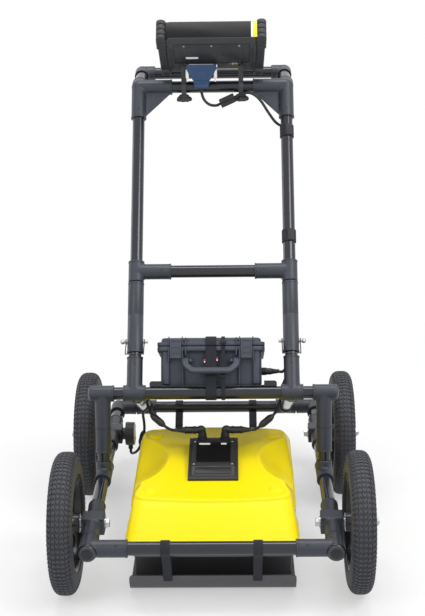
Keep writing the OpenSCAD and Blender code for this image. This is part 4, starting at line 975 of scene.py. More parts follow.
def shell_loop(z, rise, inset=0.0):
    """The plan outline at a height; rise is 0 at the rim and 1 at the deck."""
    half_w = ANTENNA_W / 2 * (1 + (DECK_W_SHARE - 1) * rise) - inset
    half_l = ANTENNA_L / 2 * (1 + (DECK_L_SHARE - 1) * rise) - inset
    loop = []
    for x, y in shell_plan(half_w, half_l, max(PLAN_CORNER - inset, LEAST_CORNER)):
        y *= 1 + DECK_BOW * rise / half_l * (1 - (x / half_w) ** 2)
        limit = scoop_limit(y, z) - inset * 0.6
        notch = NOTCH * math.exp(-((y - NOTCH_Y) / NOTCH_L) ** 2) * (abs(x) > half_w / 2)
        x = math.copysign(soft_min(abs(x) - notch, max(limit, LEAST_WAIST), SCOOP_EDGE), x)
        loop.append((x, y, z))
    return loop


# %% Shell, rim flange and bosses
bm = bmesh.new()
shell_at = Matrix.Translation(antenna_mid)
RIM_ROWS = ((0, 0, 6), (0, 0, -3), (5.5, 0, -3), (7, 0, -1.2), (8, 0, 1.0), (13, 0.01, 1.4), (15, 0.03, 0.6))
DECK_ROWS = ((6.0, 0.0), (3.4, 1.2), (1.5, 3.2), (0.5, 6.0), (0.0, 9.5), (0.5, 13.0), (0.9, 18.0))
RISE_STEPS = 20
loops = [shell_loop(RIM_Z + up_by, rise, inset) for up_by, rise, inset in RIM_ROWS]
low, high = RIM_Z + RIM_ROWS[-1][0], DECK_Z - DECK_ROWS[0][0]
for i in range(1, RISE_STEPS):
    share = (i / RISE_STEPS) ** 1.4
    loops.append(shell_loop(low + share * (high - low), 0.03 + 0.95 * share))
loops += [shell_loop(DECK_Z - drop, 1.0, inset) for drop, inset in DECK_ROWS]
for share in (0.85, 0.65, 0.42, 0.2):
    loops.append([(x * share, y * share, z) for x, y, z in loops[-1]])
loft(bm, loops, shell_at)
BOSS_X, BOSS_Y, BOSS_SUNK = 141, 146, 0.6
boss = [(0.01, 0.0), (18, -1.0), (15.5, 0.4), (14, 1.6), (13, 3.0), (11.6, 3.8), (8, 4.2), (0.01, 4.3)]
for x in (-BOSS_X, BOSS_X):
    for y in (-BOSS_Y, BOSS_Y):
        lathe(bm, boss, shifted(shell_at, x, y, DECK_Z - BOSS_SUNK), steps=32)
make(bm, "antenna_hood", [shell_yellow], "antenna", ["antenna_shell"])

# %% [markdown]
# Under the shell, the base curves in at both ends, and a sheet skid lies below it, with a lip turned
# up at each end. Both are profiles along the cart, carried across it. The base's side edges are
# rounded, and so are the corners of the skid's lips.

# %% Base and skid
def carried_across(bm, outline, half_w, edge, place):
    """A closed outline in the Y-Z plane, carried from side to side with its ends drawn in."""
    middle = [sum(p[k] for p in outline) / len(outline) for k in (0, 1)]
    loops = []
    for x, inset in ((-half_w, edge), (-half_w + 0.4 * edge, 0.25 * edge), (-half_w + edge, 0),
                     (half_w - edge, 0), (half_w - 0.4 * edge, 0.25 * edge), (half_w, edge)):
        loop = []
        for y, z in outline:
            away = math.hypot(y - middle[0], z - middle[1])
            pull = 1 - inset / away if away > inset else 0.2
            loop.append((x, middle[0] + (y - middle[0]) * pull, middle[1] + (z - middle[1]) * pull))
        loops.append(loop)
    loft(bm, loops, place)


BASE_TOP, BASE_FOOT, BASE_HALF = RIM_Z - 0.6, 9.2, 280
BASE_SIDE, BASE_EDGE, RECESS = 176, 5, 92
CURVE_STEPS = 12
curve = []
for i in range(CURVE_STEPS + 1):
    a = math.radians(90 * i / CURVE_STEPS)
    drop = (BASE_TOP - BASE_FOOT) * (1 - math.cos(a)) ** 0.8
    curve.append((BASE_HALF - RECESS * math.sin(a) ** 0.9, BASE_TOP - drop))
outline = curve + [(-y, z) for y, z in reversed(curve)]
bm = bmesh.new()
carried_across(bm, outline, BASE_SIDE, BASE_EDGE, shell_at)
blocks(bm, shell_at, [(ANTENNA_W, ANTENNA_L, RIM_Z - 6.4, BASE_TOP, 34, 1.5)])
make(bm, "antenna_tub", [base_matt], "antenna", ["antenna_base"])

# %% Skid
SKID_Z, SKID_T, SKID_HALF, SKID_SIDE = 6, 3, 236, 183
LIP_REACH, LIP_RISE, LIP_TURN, LIP_STEPS = 34, 68, 71, 14
LIP_CORNER = 8
under, over_it = [], []
for i in range(LIP_STEPS + 1):
    a = math.radians(LIP_TURN * i / LIP_STEPS)
    y, z = SKID_HALF + LIP_REACH * math.sin(a), SKID_Z + LIP_RISE * (1 - math.cos(a))
    steep = math.atan2(LIP_RISE * math.sin(a), LIP_REACH * math.cos(a))
    under.append((y, z))
    over_it.append((y - SKID_T * math.sin(steep), z + SKID_T * math.cos(steep)))
skid_line = [(-y, z) for y, z in reversed(under)] + under
outline = skid_line + over_it[::-1] + [(-y, z) for y, z in over_it]
lip_top = under[-1][1] - SKID_Z
ends = [(inset - SKID_SIDE, LIP_CORNER - math.sqrt(LIP_CORNER ** 2 - (LIP_CORNER - inset) ** 2))
        for inset in (0.0, 0.6, 2.0, 4.5, LIP_CORNER)]


def lip_share(y, z):
    """0 on the flat skid, and up to 1 at the top of a lip."""
    return ((z - SKID_Z) / lip_top) ** 2 if abs(y) > SKID_HALF else 0


loops = [[(x, y, z - drop * lip_share(y, z)) for y, z in outline]
         for x, drop in ends + [(-x, drop) for x, drop in reversed(ends)]]
bm = bmesh.new()
loft(bm, loops, shell_at)
make(bm, "skid_sheet", [skid_sheet], "antenna", ["skid_tray"])

# %% [markdown]
# The radar module is a black box on a flange. Its lid slopes to the front and carries a plain satin
# plate, and its front face is steeper. Two right-angled plugs stand at its back.

# %% Radar module
AS_SIDE = Matrix(((0, 0, 1, 0), (1, 0, 0, 0), (0, 1, 0, 0), (0, 0, 0, 1)))
MODULE_W, MODULE_L = 115, 200
MODULE_Y = MID_Y - 38
MODULE_FRONT = -86
LID_FRONT, LID_BACK = Vector((0, -50, 20)), Vector((0, 66, 30))
BOX_W, WEDGE_H, PLUG_X = 99, 24.6, 27
BOX_TOE = Vector((0, -77, 8))
module_at = Matrix.Translation((0, MODULE_Y, DECK_Z))
half_l = MODULE_L / 2
bm = bmesh.new()
wedge = [(MODULE_FRONT, -1), (half_l, -1), (half_l, 22), (half_l - 3, WEDGE_H),
         (54, WEDGE_H), (MODULE_FRONT + 2, 6.4), (MODULE_FRONT, 4.4)]
box = [(-78, 2), (84, 2), (84, 28), (82, LID_BACK.z),
       tuple(LID_BACK.yz), tuple(LID_FRONT.yz), tuple(BOX_TOE.yz)]
for side_view, width in ((wedge, MODULE_W), (box, BOX_W)):
    prism(bm, side_view, -width / 2, width / 2, 1.6, module_at @ AS_SIDE)
for x in (-PLUG_X, PLUG_X):
    lathe(bm, [(13, WEDGE_H - 2), (13, 29), (12.2, LID_BACK.z)], shifted(module_at, x, 80), steps=32)


def on_module(front, back):
    """A place on a sloping face, its Y along the slope from the front edge and Z out of it."""
    rise = back - front
    return shifted(module_at, y=front.y, z=front.z) @ Matrix.Rotation(math.atan2(rise.z, rise.y), 4, "X")


lid = on_module(LID_FRONT, LID_BACK)
blocks(bm, lid, [(97, 112, -1, 1.6, 4, 0.8, 0, 58)])
blocks(bm, lid, [(80, 92, 1.2, 2.2, 3, 0.4, 0, 59)], 1)
blocks(bm, on_module(BOX_TOE, LID_FRONT), [(84, 20, -0.6, 0.8, 2, 0.3, 0, 15)], 1)
blocks(bm, lid, [(26, 7, 2, 2.6, 1, 0.2, -21, 98), (13, 7, 2, 2.6, 1, 0.2, 24, 98)], 2)
for x in (-44, 44):
    for y in (6, 110):
        screw(bm, shifted(lid, x, y, 1.6), 3)
for x in (-52, 0, 52):
    screw(bm, shifted(module_at, x, half_l - 7, WEDGE_H), 3)
make(bm, "radar_module_body", [module_coat, plate_black, paint_white, steel_bright], "antenna",
     ["radar_module"])

# %% Module plugs
PLUG_R = 8.2
PLUG_Y = MID_Y + 42
PLUG_Z = 252
stem = [(12, -22.4), (12, -20), (10.4, -19), (10.4, -11), (9.2, -10), (9.2, -6), (8, -5), (8, -1)]
bend = ((0, -4), (0, 0.5), (2.5, 3), (8, 1), (12, 0))
body = [(8.2, 8), (8.2, 14), (9.2, 15), (9.2, 21), (8.4, 22), (8.4, 36), (8.9, 37), (8.9, 41), (7.4, 42.5),
        (7.0, 46), (6.3, 47), (6.6, 49), (5.7, 50), (6.0, 53), (5.1, 54), (5.3, 57), (4.3, 62)]
bm = bmesh.new()
for side, axis in ((-1, "-X"), (1, "+X")):
    elbow = Matrix.Translation((side * PLUG_X, PLUG_Y, PLUG_Z))
    lathe(bm, stem, elbow, steps=32)
    turn = smooth_line([elbow @ Vector((side * x, 0, z)) for x, z in bend])
    sweep(bm, turn, round_section(PLUG_R, 24), Vector((0, 1, 0)))
    lathe(bm, body, along(elbow, axis), steps=32)
make(bm, "module_plug_bodies", [plug_rubber], "antenna", ["sensor_plugs"])

# %% [markdown]
# Four webbing straps loop over the crossbars and through slots in the skid's lip. The antenna
# floats, but each strap is one fixed mesh, on no body, from its bar to the lip.

# %% Hanging straps
STRAP_X, STRAP_W, STRAP_T = 98, 20, 2
LOOP_STEPS = 24
SLOT_A = math.radians(60)
slot_y = SKID_HALF + LIP_REACH * math.sin(SLOT_A)
slot_z = SKID_Z + LIP_RISE * (1 - math.cos(SLOT_A))


def hanging_strap(name, x, bar_y, end):
    """A strap round a crossbar and down to the skid's slot; end is -1 in front and 1 at the rear."""
    bar = Vector((x, bar_y, AXLE_Z))
    slot = Vector((x, antenna_mid.y + end * slot_y, slot_z))
    ring = TUBE_R + 1.6
    down = (slot - bar).normalized()
    fall = math.atan2(down.z, down.y)
    line = []
    for i in range(LOOP_STEPS + 1):
        a = fall - end * math.radians(80 + 280 * i / LOOP_STEPS)
        line.append(bar + Vector((0, ring * math.cos(a), ring * math.sin(a))))
    start = line[-1]
    tail = slot + 8 * down
    line += [start.lerp(tail, k / 10) for k in range(1, 11)]
    bm = bmesh.new()
    ribbon(bm, line, STRAP_W, STRAP_T)
    flap = [bar + (ring + 1 + 8 * k) * down - Vector((0, end * 2.2, 0)) for k in range(6)]
    ribbon(bm, flap, STRAP_W - 1, 1.6)
    strap = make(bm, name, [webbing], None)
    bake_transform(strap)
    return strap


straps = [hanging_strap(f"hanging_strap_{end_name}_{hand}", side * STRAP_X, bar_y, end)
          for end_name, bar_y, end in (("front", FRONT_BAR_Y, -1), ("rear", REAR_BAR_Y, 1))
          for hand, side in (("left", -1), ("right", 1))]
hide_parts("hanging_straps")

# %% [markdown]
# ## Battery case
# The case is a hard plastic one with a rim, ribs, two latches and a folding handle. Its lid
# opens, so base and lid are hollow: one loft runs up the outside, over the rim and down the inside.

# %% Case base
CASE_X, CASE_D = -5, 190
BODY_W, BODY_D = 226, 168
box_at = shifted(case, CASE_X, CASE_D / 2)


def case_loops(rows):
    """Loops from rows of (draw-in across, draw-in along, height, corner)."""
    return [rounded_loop(BODY_W - 2 * across, BODY_D - 2 * depth, r, z)
            for across, depth, z, r in rows]


def upright_bar(bm, x, y, w, d, low, high):
    """A rib on the case, in the case's own frame."""
    soft_block(bm, w, d, low, high, min(w, d) * 0.3, min(w, d) * 0.2, shifted(case, x + CASE_X, y))


def side_plate(bm, outline, x, thick):
    """A flat lug with its face across the case, from an outline of (y, z)."""
    prism(bm, outline, x - thick / 2, x + thick / 2, 0.6, shifted(case, CASE_X) @ AS_SIDE)


def lug_arc(y, z, radius, first, last):
    """Points of (y, z) round a lug's end, every 20 degrees."""
    return [(y + radius * math.cos(math.radians(a)), z + radius * math.sin(math.radians(a)))
            for a in range(first, last + 1, 20)]


def hinge_knuckle(bm, x, half, web_low, web_high):
    """A length of the lid's hinge barrel and the web that carries it."""
    knuckle = shifted(case, CASE_X + x, 195, 112)
    lathe(bm, [(4.4, -half), (4.4, half)], along(knuckle, "+X"), steps=20)
    soft_block(bm, 2 * half, 8, web_low, web_high, 1, 0.4, shifted(knuckle, y=-4))


LATCH_X, LATCH_RIB = 84, 15.8
HINGE_X = 72
base_rows = [
    (6, 7, 18, 8), (3, 4.5, 18.8, 10), (1.6, 3.4, 21, 12), (1, 3, 24, 13), (-3, 0, 92, 14), (-7, -3, 97, 14),
    (-12, -8, 99.5, 14), (-14.4, -10.4, 101, 14), (-15, -11, 102.5, 14), (-15, -11, 109.6, 14),
    (-14.2, -10.2, 111, 14), (1, 1, 111, 13), (4, 4, 110, 10), (6, 6, 27, 8), (9, 9, 22, 6)]
bm = bmesh.new()
loft(bm, case_loops(base_rows), box_at)
for side in (-1, 1):
    upright_bar(bm, side * 107, 10, 16, 11, 21, 101)
    upright_bar(bm, side * 67, 9, 4, 10, 20, 101)
    upright_bar(bm, side * 60, 4, 3.4, 14, 90, 110.6)
    for rib in (-LATCH_RIB, LATCH_RIB):
        upright_bar(bm, side * LATCH_X + rib, 3, 2.6, 14, 74, 110.6)
    for y in (40, 95, 150):
        upright_bar(bm, side * 116, y, 9, 10, 24, 101)
    for x in (30, 100):
        upright_bar(bm, side * x, 181, 12, 9, 24, 101)
    side_plate(bm, lug_arc(2, 76, 5.6, 90, 270) + [(12, 68), (12, 84)], side * 48.6, 5)
    for ear in (-10.3, 10.3):
        hinge_knuckle(bm, side * HINGE_X + ear, 2, -4.4, -1.1)
make(bm, "case_base_moulding", [case_texture], "frame", ["case_base"])

# %% Case lid
lid_rows = [
    (9, 9, 130, 6), (4, 4, 128, 8), (4, 4, 113.6, 10), (1, 1, 113, 13), (-14.2, -10.2, 113, 14),
    (-15, -11, 114.2, 14), (-15, -11, 120.4, 14), (-14, -10, 121.9, 14), (-7.6, -2.4, 122.3, 14),
    (-6.4, -0.8, 123.4, 14), (-5.6, 0, 129.6, 14), (-4.2, 1.2, 132, 13), (-2, 3.4, 133.2, 12),
    (16, 16, 133.2, 10), (17, 17, 132.2, 9), (21, 21, 132.2, 9), (22.4, 22.4, 134, 8), (60, 60, 134, 6)]
bm = bmesh.new()
loft(bm, case_loops(lid_rows), box_at)
for side in (-1, 1):
    for rib in (-LATCH_RIB, LATCH_RIB):
        outline = lug_arc(3, 130.6, 4.4, 0, 180) + [(-4, 128), (-4, 113.5), (9, 113.5), (9, 122)]
        side_plate(bm, outline, side * LATCH_X + rib, 2.6)
    upright_bar(bm, side * 60, 4, 3.4, 14, 113.5, 132)
    hinge_knuckle(bm, side * HINGE_X, 8, 1.1, 4.4)
make(bm, "case_lid_moulding", [case_texture], "lid", ["case_lid"])

# %% [markdown]
# Latches and handle are small mouldings that a hand works. The latch is a plate with raised
# side rails and a lip to pull. The handle is a bar between two ears, with straight shoulders.

# %% Latches and carrying handle
LATCH_PIN_Z = 126.65
latch_blocks = [
    (26, 4.2, -44.4, -1.5, 1, 0.9, 0, -5.5), (27.6, 9.5, -4, 1.5, 1.5, 1.2, 0, -3.9),
    (4.6, 5.2, -44.8, 0, 1.4, 1, -11.4, -6.1), (4.6, 5.2, -44.8, 0, 1.4, 1, 11.4, -6.1),
    (24, 5.4, -45, -38, 2, 1.6, 0, -6.1), (19, 1.8, -19, -17, 0.8, 0.5, 0, -7.6),
    (19, 1.8, -32, -30, 0.8, 0.5, 0, -7.6)]
for hand, side in (("left", -1), ("right", 1)):
    bm = bmesh.new()
    pin = shifted(case, CASE_X + side * LATCH_X, 3, LATCH_PIN_Z)
    lathe(bm, [(3.9, -14), (3.9, 14)], along(pin, "+X"), steps=24)
    lathe(bm, [(1.9, -18), (1.9, 18)], along(pin, "+X"), steps=16)
    blocks(bm, pin, latch_blocks)
    make(bm, f"latch_{hand}_moulding", [case_texture], f"latch_{hand}", [f"latch_{hand}"])

half_path = [(-60.5, 6, 80), (-60.5, 2, 76), (-60.3, -4.6, 69), (-58.4, -8.6, 64.7), (-53, -13.6, 59.2),
             (-47.6, -18.2, 54.2), (-43.4, -20.4, 51.8), (-36, -21, 51.2), (-17, -21, 51.2), (0, -21, 51.2)]
grip_path = half_path + [(-x, y, z) for x, y, z in reversed(half_path[:-1])]
line = smooth_line([shifted(case, CASE_X) @ Vector(p) for p in grip_path])
bm = bmesh.new()
handle_face = case.to_3x3() @ Vector((0, -0.72, 0.69))
sweep(bm, line, [(x, y) for x, y, _ in rounded_loop(16.2, 10.4, 3.6, 0, 3)], handle_face)
pivot = along(shifted(case, CASE_X, 2, 76), "+X")
for side in (-1, 1):
    lathe(bm, [(2.4, side * 44), (2.4, side * 70)], pivot, steps=20)
    lathe(bm, [(3.6, side * 67), (3.6, side * 69.6), (2.6, side * 70.6)], pivot, steps=20)
make(bm, "case_handle_bar", [case_texture], "case_handle", ["case_handle"])

# %% [markdown]
# The straps that hold the case are split at the lid's seam, as in the CAD, so that the lid can
# open. A narrow second strap with a buckle runs beside the wide one.

# %% Case straps
NARROW_X = 29
FRONT_SLOPE = 9


def case_line(points, x):
    return [case @ Vector((CASE_X + x, y, z)) for y, z in points]


def on_strap(x, y, z):
    """A place on the strap in front of the case, where it slopes more than the case leans."""
    return leaning(case @ Vector((CASE_X + x, y, z)), BRACE_DROP + FRONT_SLOPE)


below = [
    (-1.4, 110), (-1.5, 106), (-1.8, 101), (-9, 54), (-15.6, 10), (-16.4, 3), (-15.8, -5), (-12, -11.6),
    (-6, -15.4), (0, -16.5), (6, -15.4), (12, -11.4), (16, -5), (17.6, 4), (20, 11), (26, 13.6),
    (40, 13.9), (120, 13.9), (205, 13.9), (213, 14.2), (215.6, 17), (214.6, 23), (192.4, 99),
    (191.8, 104), (191.6, 110)]
above = [
    (-1.4, 114), (-1.5, 118), (-0.6, 123), (3.4, 130), (9, 134.4), (15, 135.4), (95, 135.5),
    (175, 135.4), (181, 134.4), (187, 130), (191, 123), (191.5, 118), (191.4, 114)]
for name, body, points, node in (("case_strap_webbing", "frame", below, "case_strap"),
                                 ("lid_strap_webbing", "lid", above, "lid_strap")):
    bm = bmesh.new()
    ribbon(bm, case_line(points, 0), 26, 2)
    ribbon(bm, case_line(points, NARROW_X), 9, 1.8)
    make(bm, name, [webbing], body, [node])

bm = bmesh.new()
blocks(bm, shifted(case, CASE_X + NARROW_X), [
    (15, 6, 116, 127, 1.6, 1.2, 0, -2.6), (12, 7, 120, 123, 1.2, 0.8, 0, -4)])
make(bm, "strap_buckle", [plug_rubber], "lid")
bm = bmesh.new()
blocks(bm, on_strap(NARROW_X, -11.2, 40), [(13, 5, -4, 4, 1.4, 1)])
make(bm, "strap_slider", [plug_rubber], "frame")
bm = bmesh.new()
for x, z in ((-15, 75), (14.6, 79)):
    tag = on_strap(x, -7.4, z)
    blocks(bm, tag, [(4, 1.6, -1, 4, 0.6, 0.3)])
    blocks(bm, tag, [(3, 1.5, -4, -0.8, 0.6, 0.3)], 1)
make(bm, "strap_tags", [tag_red, paint_white], "frame")

# %% Battery plug
bm = bmesh.new()
socket = along(shifted(case, CASE_X + BODY_W / 2, 45, 55), "+X")
plug = [
    (11, -1), (11, 3), (9.4, 4), (9.4, 8), (8.6, 9), (9.4, 10), (9.4, 13), (8.6, 14), (9.4, 15),
    (9.4, 18), (8, 19.5), (8, 29), (7.2, 31), (6.8, 34), (6, 35), (6.3, 38), (5.5, 39), (5.7, 43),
    (4.9, 44), (4.6, 50)]
lathe(bm, plug, socket, steps=32)
make(bm, "battery_plug", [plug_rubber], "frame", ["power_plug"])

# %% [markdown]
# ## Display
# The display leans towards the camera, so the photograph shows its narrow top face as a black
# band and its back below that. The housing is one moulded block with pockets carved into it for
# the screen, the rear panel and the socket bay, so it is made with a boolean.

# %% Display housing
face_on = display @ Matrix.Rotation(math.radians(90), 4, "X")
DISPLAY_W, DISPLAY_H = 224, 148
BACK, FOOT = 30, 24
MID_Z = FOOT + DISPLAY_H / 2
PANEL_Z = 105


def carved(bm, cutters, name, finishes):
    """The mesh of a block with every cutter taken out of it."""
    body = put_in_scene(name, smooth_mesh(bm, name, finishes))
    knife = put_in_scene(name + "_knife", smooth_mesh(cutters, name + "_knife", finishes))
    cut = body.modifiers.new("pockets", "BOOLEAN")
    cut.operation = "DIFFERENCE"
    cut.solver = "EXACT"
    cut.object = knife
    mesh = baked(body, name)
    bpy.data.objects.remove(knife)
    mesh.set_sharp_from_angle(angle=SHARP)
    return mesh


bm = bmesh.new()
soft_block(bm, DISPLAY_W, DISPLAY_H, -80, -30, 12, 3.5, shifted(face_on, y=MID_Z), steps=4)
cutters = bmesh.new()
bay = [(-65.5, 25), (65.5, 25), (65.5, 38), (12.5, 38), (12.5, 50), (-65.5, 50)]
prism(cutters, bay, FOOT - 5, FOOT + 35, 1, display)
blocks(cutters, face_on, [
    (188, 88, -32.5, -25, 4, 0.5, 0, PANEL_Z), (196, 120, -90, -77, 4, 0.5, 0, MID_Z),
    (7, 90, -32, -25, 3, 1, -100, 84), (7, 90, -32, -25, 3, 1, 100, 84)])
housing = carved(bm, cutters, "display_housing_moulding", [housing_texture])
settle(housing, "display_housing_moulding", "display", ["display_housing"])
print("display housing", len(housing.polygons), "faces")

# %% Top band and rear panel
bm = bmesh.new()
top_face = shifted(display, y=55, z=FOOT + DISPLAY_H)
BAND_END = 97
band_w = DISPLAY_W / 2 + BAND_END
blocks(bm, top_face, [(band_w - 2, 44, -1.5, 0.6, 1.5, 0.4, (BAND_END - DISPLAY_W / 2) / 2)])
blocks(bm, top_face, [(4.6, 44, -1.5, 0.6, 0.6, 0.3, 99.4)], 1)
blocks(bm, top_face, [(10, 44, -1.5, 0.6, 0.6, 0.3, 106.8)], 2)
make(bm, "display_top_band", [plate_black, paint_white, paint_yellow], "display")

bm = bmesh.new()
panel = shifted(face_on, y=PANEL_Z)
blocks(bm, panel, [(186.6, 86.6, -32.6, -31.2, 3.6, 0.4), (152, 78, -32, -30.2, 5, 0.6, 0, 1)])
blocks(bm, panel, [(31, 8, -30.4, -29.8, 0.8, 0.2, -49, -19)], 1)
for x in (-68, 0, 68):
    screw(bm, shifted(panel, x, 33, -30.2), 2)
for x in (-84, 84):
    for y in (-24, 36):
        screw(bm, shifted(panel, x, y, -31.2), 0)
socket = shifted(face_on, 57, 63)
blocks(bm, socket, [(31, 12, -31, -29.4, 2, 0.4)])
blocks(bm, socket, [(17, 7.6, -30, -25.6, 2.4, 0.6)], 2)
blocks(bm, socket, [(14, 5, -27, -25.3, 1.6, 0.3)], 3)
for x in (-12.5, 12.5):
    lathe(bm, [(2.6, -30), (2.6, -25.8), (1.2, -25.6)], shifted(socket, x), 2, 6)
make(bm, "display_rear_panel", [panel_satin, paint_white, steel_bright, brass_plate], "display",
     ["display_back_panel"])

# %% Screen frame
bm = bmesh.new()
frame_at = shifted(face_on, y=MID_Z)
for side in (-1, 1):
    blocks(bm, frame_at, [(200, 5, -81.2, -78, 1.6, 0.8, 0, side * 60.5),
                          (5, 126, -81.2, -78, 1.6, 0.8, side * 98.5)])
make(bm, "display_screen_frame", [seal_soft], "display")

# %% [markdown]
# The grips are rubber ends with segments over their tops, as a bellows has. Each segment is an arch,
# sunk into the grip and a little wider than it. At the foot a round bumper stands proud of the back.

# %% Grips
GRIP_X, GRIP_TOP, ARCH_R, FOOT_DRAW = 122.6, 179.4, 11.9, 9
core_rows = [(-83, 15, 146, 7), (-80, 19, 154, 9), (-74, 21, 158, 10), (-36, 21, 158, 10),
             (-30, 19, 154, 9), (-27.2, 15, 146, 7)]
bumper_rows = [(24, 22, 8, -44), (24, 22, 8, -27), (22.6, 20.6, 8, -23.4), (18, 16, 7, -21),
               (9, 8, 3.6, -20)]
bm = bmesh.new()
for side in (-1, 1):
    core = shifted(face_on, side * GRIP_X, MID_Z)
    loops = []
    for z, w, h, r in core_rows:
        loop = rounded_loop(w, h, r, z)
        loops.append([(x - side * max(0, -y / h - 0.05) * FOOT_DRAW, y, z) for x, y, z in loop])
    loft(bm, loops, core)
    arch = [(ARCH_R * math.cos(a), GRIP_TOP - ARCH_R + ARCH_R * math.sin(a))
            for a in (math.radians(12 * i) for i in range(16))]
    arch += [(-ARCH_R, GRIP_TOP - 34), (ARCH_R, GRIP_TOP - 34)]
    for near, far in ((29.4, 38.4), (41, 53), (55.6, 67.6), (70.2, 81)):
        prism(bm, arch, -far, -near, 2.2, shifted(face_on, side * GRIP_X))
    for y in (29.8, 80.4):
        for z in (163, 149, 135):
            blocks(bm, display, [(23.8, 7, -5.6, 5.6, 3, 2.6, side * GRIP_X, y, z)])
    loft(bm, [rounded_loop(*row) for row in bumper_rows], shifted(face_on, side * 116, 29))
make(bm, "display_grip_rubbers", [grip_rubber], "display", ["display_grips"])

# %% Data plug
bm = bmesh.new()
hood = leaning(display @ Vector((-27, BACK, FOOT + 35)), 9.5)
hood_rows = [
    (-60, 34, 13), (-58, 36, 15), (-52, 38, 15), (-51, 36.5, 13.6), (-49, 37, 13.6), (-48, 39.6, 15.4),
    (-44, 41.5, 15.6), (-43, 40, 14), (-41, 40.6, 14), (-40, 43.5, 16), (-16, 72, 17), (-12, 76, 17),
    (-2, 76, 17)]
loft(bm, [rounded_loop(w, d, 2.4, z, 3) for z, w, d in hood_rows], hood)
blocks(bm, hood, [(30, 1.6, -34, -18, 0.6, 0.4, 0, -8.6)])
blocks(bm, hood, [(62, 12, -3, -0.4, 2, 0.5)], 2)
knurl = [(1.6, -44), (1.6, -36), (4.4, -35), (4.6, -33), (4.3, -31), (4.6, -29), (4.3, -27), (4.6, -25),
         (4.3, -23), (4.6, -21), (4.4, -14), (1.8, -13), (1.8, -4)]
for x in (-35, 35):
    lathe(bm, knurl, shifted(hood, x, -2), 1, 20)
lathe(bm, [(LEAD_R + 2.6, -58), (LEAD_R + 1, -68)], hood, 3, 20)
make(bm, "data_plug_hood", [hood_blue, paint_white, steel_satin, plug_rubber], "display",
     ["data_plug"])

# %% Clamp knobs
KNOB_R, LOBES, KNOB_STEPS = 20, 7, 84
lobe_rows = ((0.3, 1.6), (0.62, 0.6), (0.86, 0.3), (0.95, 1.4), (1.0, 3.6), (1.0, 6.6), (0.95, 8.8),
             (0.86, 10.6), (0.74, 12))
collar_rows = ((12.6, 13.2), (12, 15.8), (11, 16.3), (9.4, 16.3), (9.2, 13.1), (3, 13), (3, 19))


def lobed(radius, z):
    """A level loop whose radius rises and falls by a tenth, once for each lobe."""
    loop = []
    for i in range(KNOB_STEPS):
        a = 2 * math.pi * i / KNOB_STEPS
        r = radius * (0.9 + 0.1 * math.cos(LOBES * a))
        loop.append((r * math.cos(a), r * math.sin(a), z))
    return loop


for hand in ("left", "right"):
    bolt = joint_at[f"knob_{hand}_turn"].copy()
    bolt.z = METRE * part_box(f"knob_{hand}")[0].z
    bm = bmesh.new()
    loops = [lobed(KNOB_R * share, z) for share, z in lobe_rows]
    loops += [circle(r, z, KNOB_STEPS) for r, z in collar_rows]
    loft(bm, loops, Matrix.Translation(bolt))
    make(bm, f"clamp_knob_{hand}", [grip_rubber], f"knob_{hand}", [f"knob_{hand}"])

# %% [markdown]
# ## Small things that the frame holds
# Hook-and-loop straps tie the display's lead behind the right upright, a clip ties the left lead
# to its brace, and the odometer has a pale cover on its inner face.

# %% Lead ties
def tie_loop(at):
    """The line of a strap round the upright and the lead behind it."""
    big, small = TUBE_R + 1.6, LEAD_R + 1.6
    tangent = math.acos((big - small) / LEAD_BACK)
    upright = shifted(handle, HANDLE_X, z=at)
    line = []
    for i in range(31):
        a = math.radians(90) + tangent + (2 * math.pi - 2 * tangent) * i / 30
        line.append(upright @ Vector((big * math.cos(a), big * math.sin(a), 0)))
    for i in range(13):
        a = math.radians(90) - tangent + 2 * tangent * i / 12
        line.append(upright @ Vector((small * math.cos(a), LEAD_BACK + small * math.sin(a), 0)))
    return line + line[:1]


bm = bmesh.new()
for at in (389.5, 668):
    ribbon(bm, tie_loop(at), 32, 1.8, handle_up)
    blocks(bm, handle, [(16, 1.6, -14, 14, 0.7, 0.5, HANDLE_X + 4, -TUBE_R - 3, at)], 1)
clip_at = shifted(case, -HANDLE_X, 79.5)
lathe(bm, [(15.3, -6), (17.2, -6), (17.5, -5), (17.5, 5), (17.2, 6), (15.3, 6)], along(clip_at, "+Y"), 1,
      joined=True)
lathe(bm, [(3.8, -6), (6, -5.6), (6, 5.6), (3.8, 6)],
      along(shifted(clip_at, 23, 0, -10.8), "+Y"), 1, 24, joined=True)
make(bm, "lead_ties", [webbing, plug_rubber], "frame", ["cable_straps"])

# %% Odometer cover
inner_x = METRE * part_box("odometer_case")[1].x
bm = bmesh.new()
inner = along(Matrix.Translation((inner_x, MID_Y + HALF_BASE, AXLE_Z)), "+X")
lathe(bm, [(27.5, -1), (27.5, 0.8), (26.8, 1.4), (4, 1.6)], inner, steps=48)
lathe(bm, [(29.6, -19), (29.6, -14)], inner, 1, 48)
for k in range(3):
    turn = inner @ Matrix.Rotation(2 * math.pi * (k + 0.25) / 3, 4, "Z")
    screw(bm, shifted(turn, 21, 0, 1.2), 2)
make(bm, "odometer_cover", [paint_white, plug_rubber, steel_bright], "frame")

# %% [markdown]
# ## Finishes for the CAD pieces that stay
# Tubes, bolts, pins, the tray and the pieces inside keep their CAD shape and get a finish each.

# %% CAD finishes
kept = {
    tube_gloss: ("rail_tubes", "cross_tubes", "strut_tubes", "upright_tubes", "handle_cross_tubes",
                 "push_bar_tubes"),
    steel_bright: ("axle_bolts", "wheel_bearings", "lock_pins", "odometer_axle"),
    steel_black: ("bail_left", "bail_right"),
    tray_paint: ("battery_tray",),
    seal_soft: ("case_seal",),
    battery_wrap: ("battery_pack",),
    plug_rubber: ("odometer_case",),
    brass_plate: ("antenna_elements",),
    screen_glass: ("display_screen",),
    housing_texture: ("display_clamps",),
}
for finish, names in kept.items():
    for name in names:
        nodes[name].data.materials.clear()
        nodes[name].data.materials.append(finish)
print("finished", sum(len(names) for names in kept.values()), "CAD nodes")

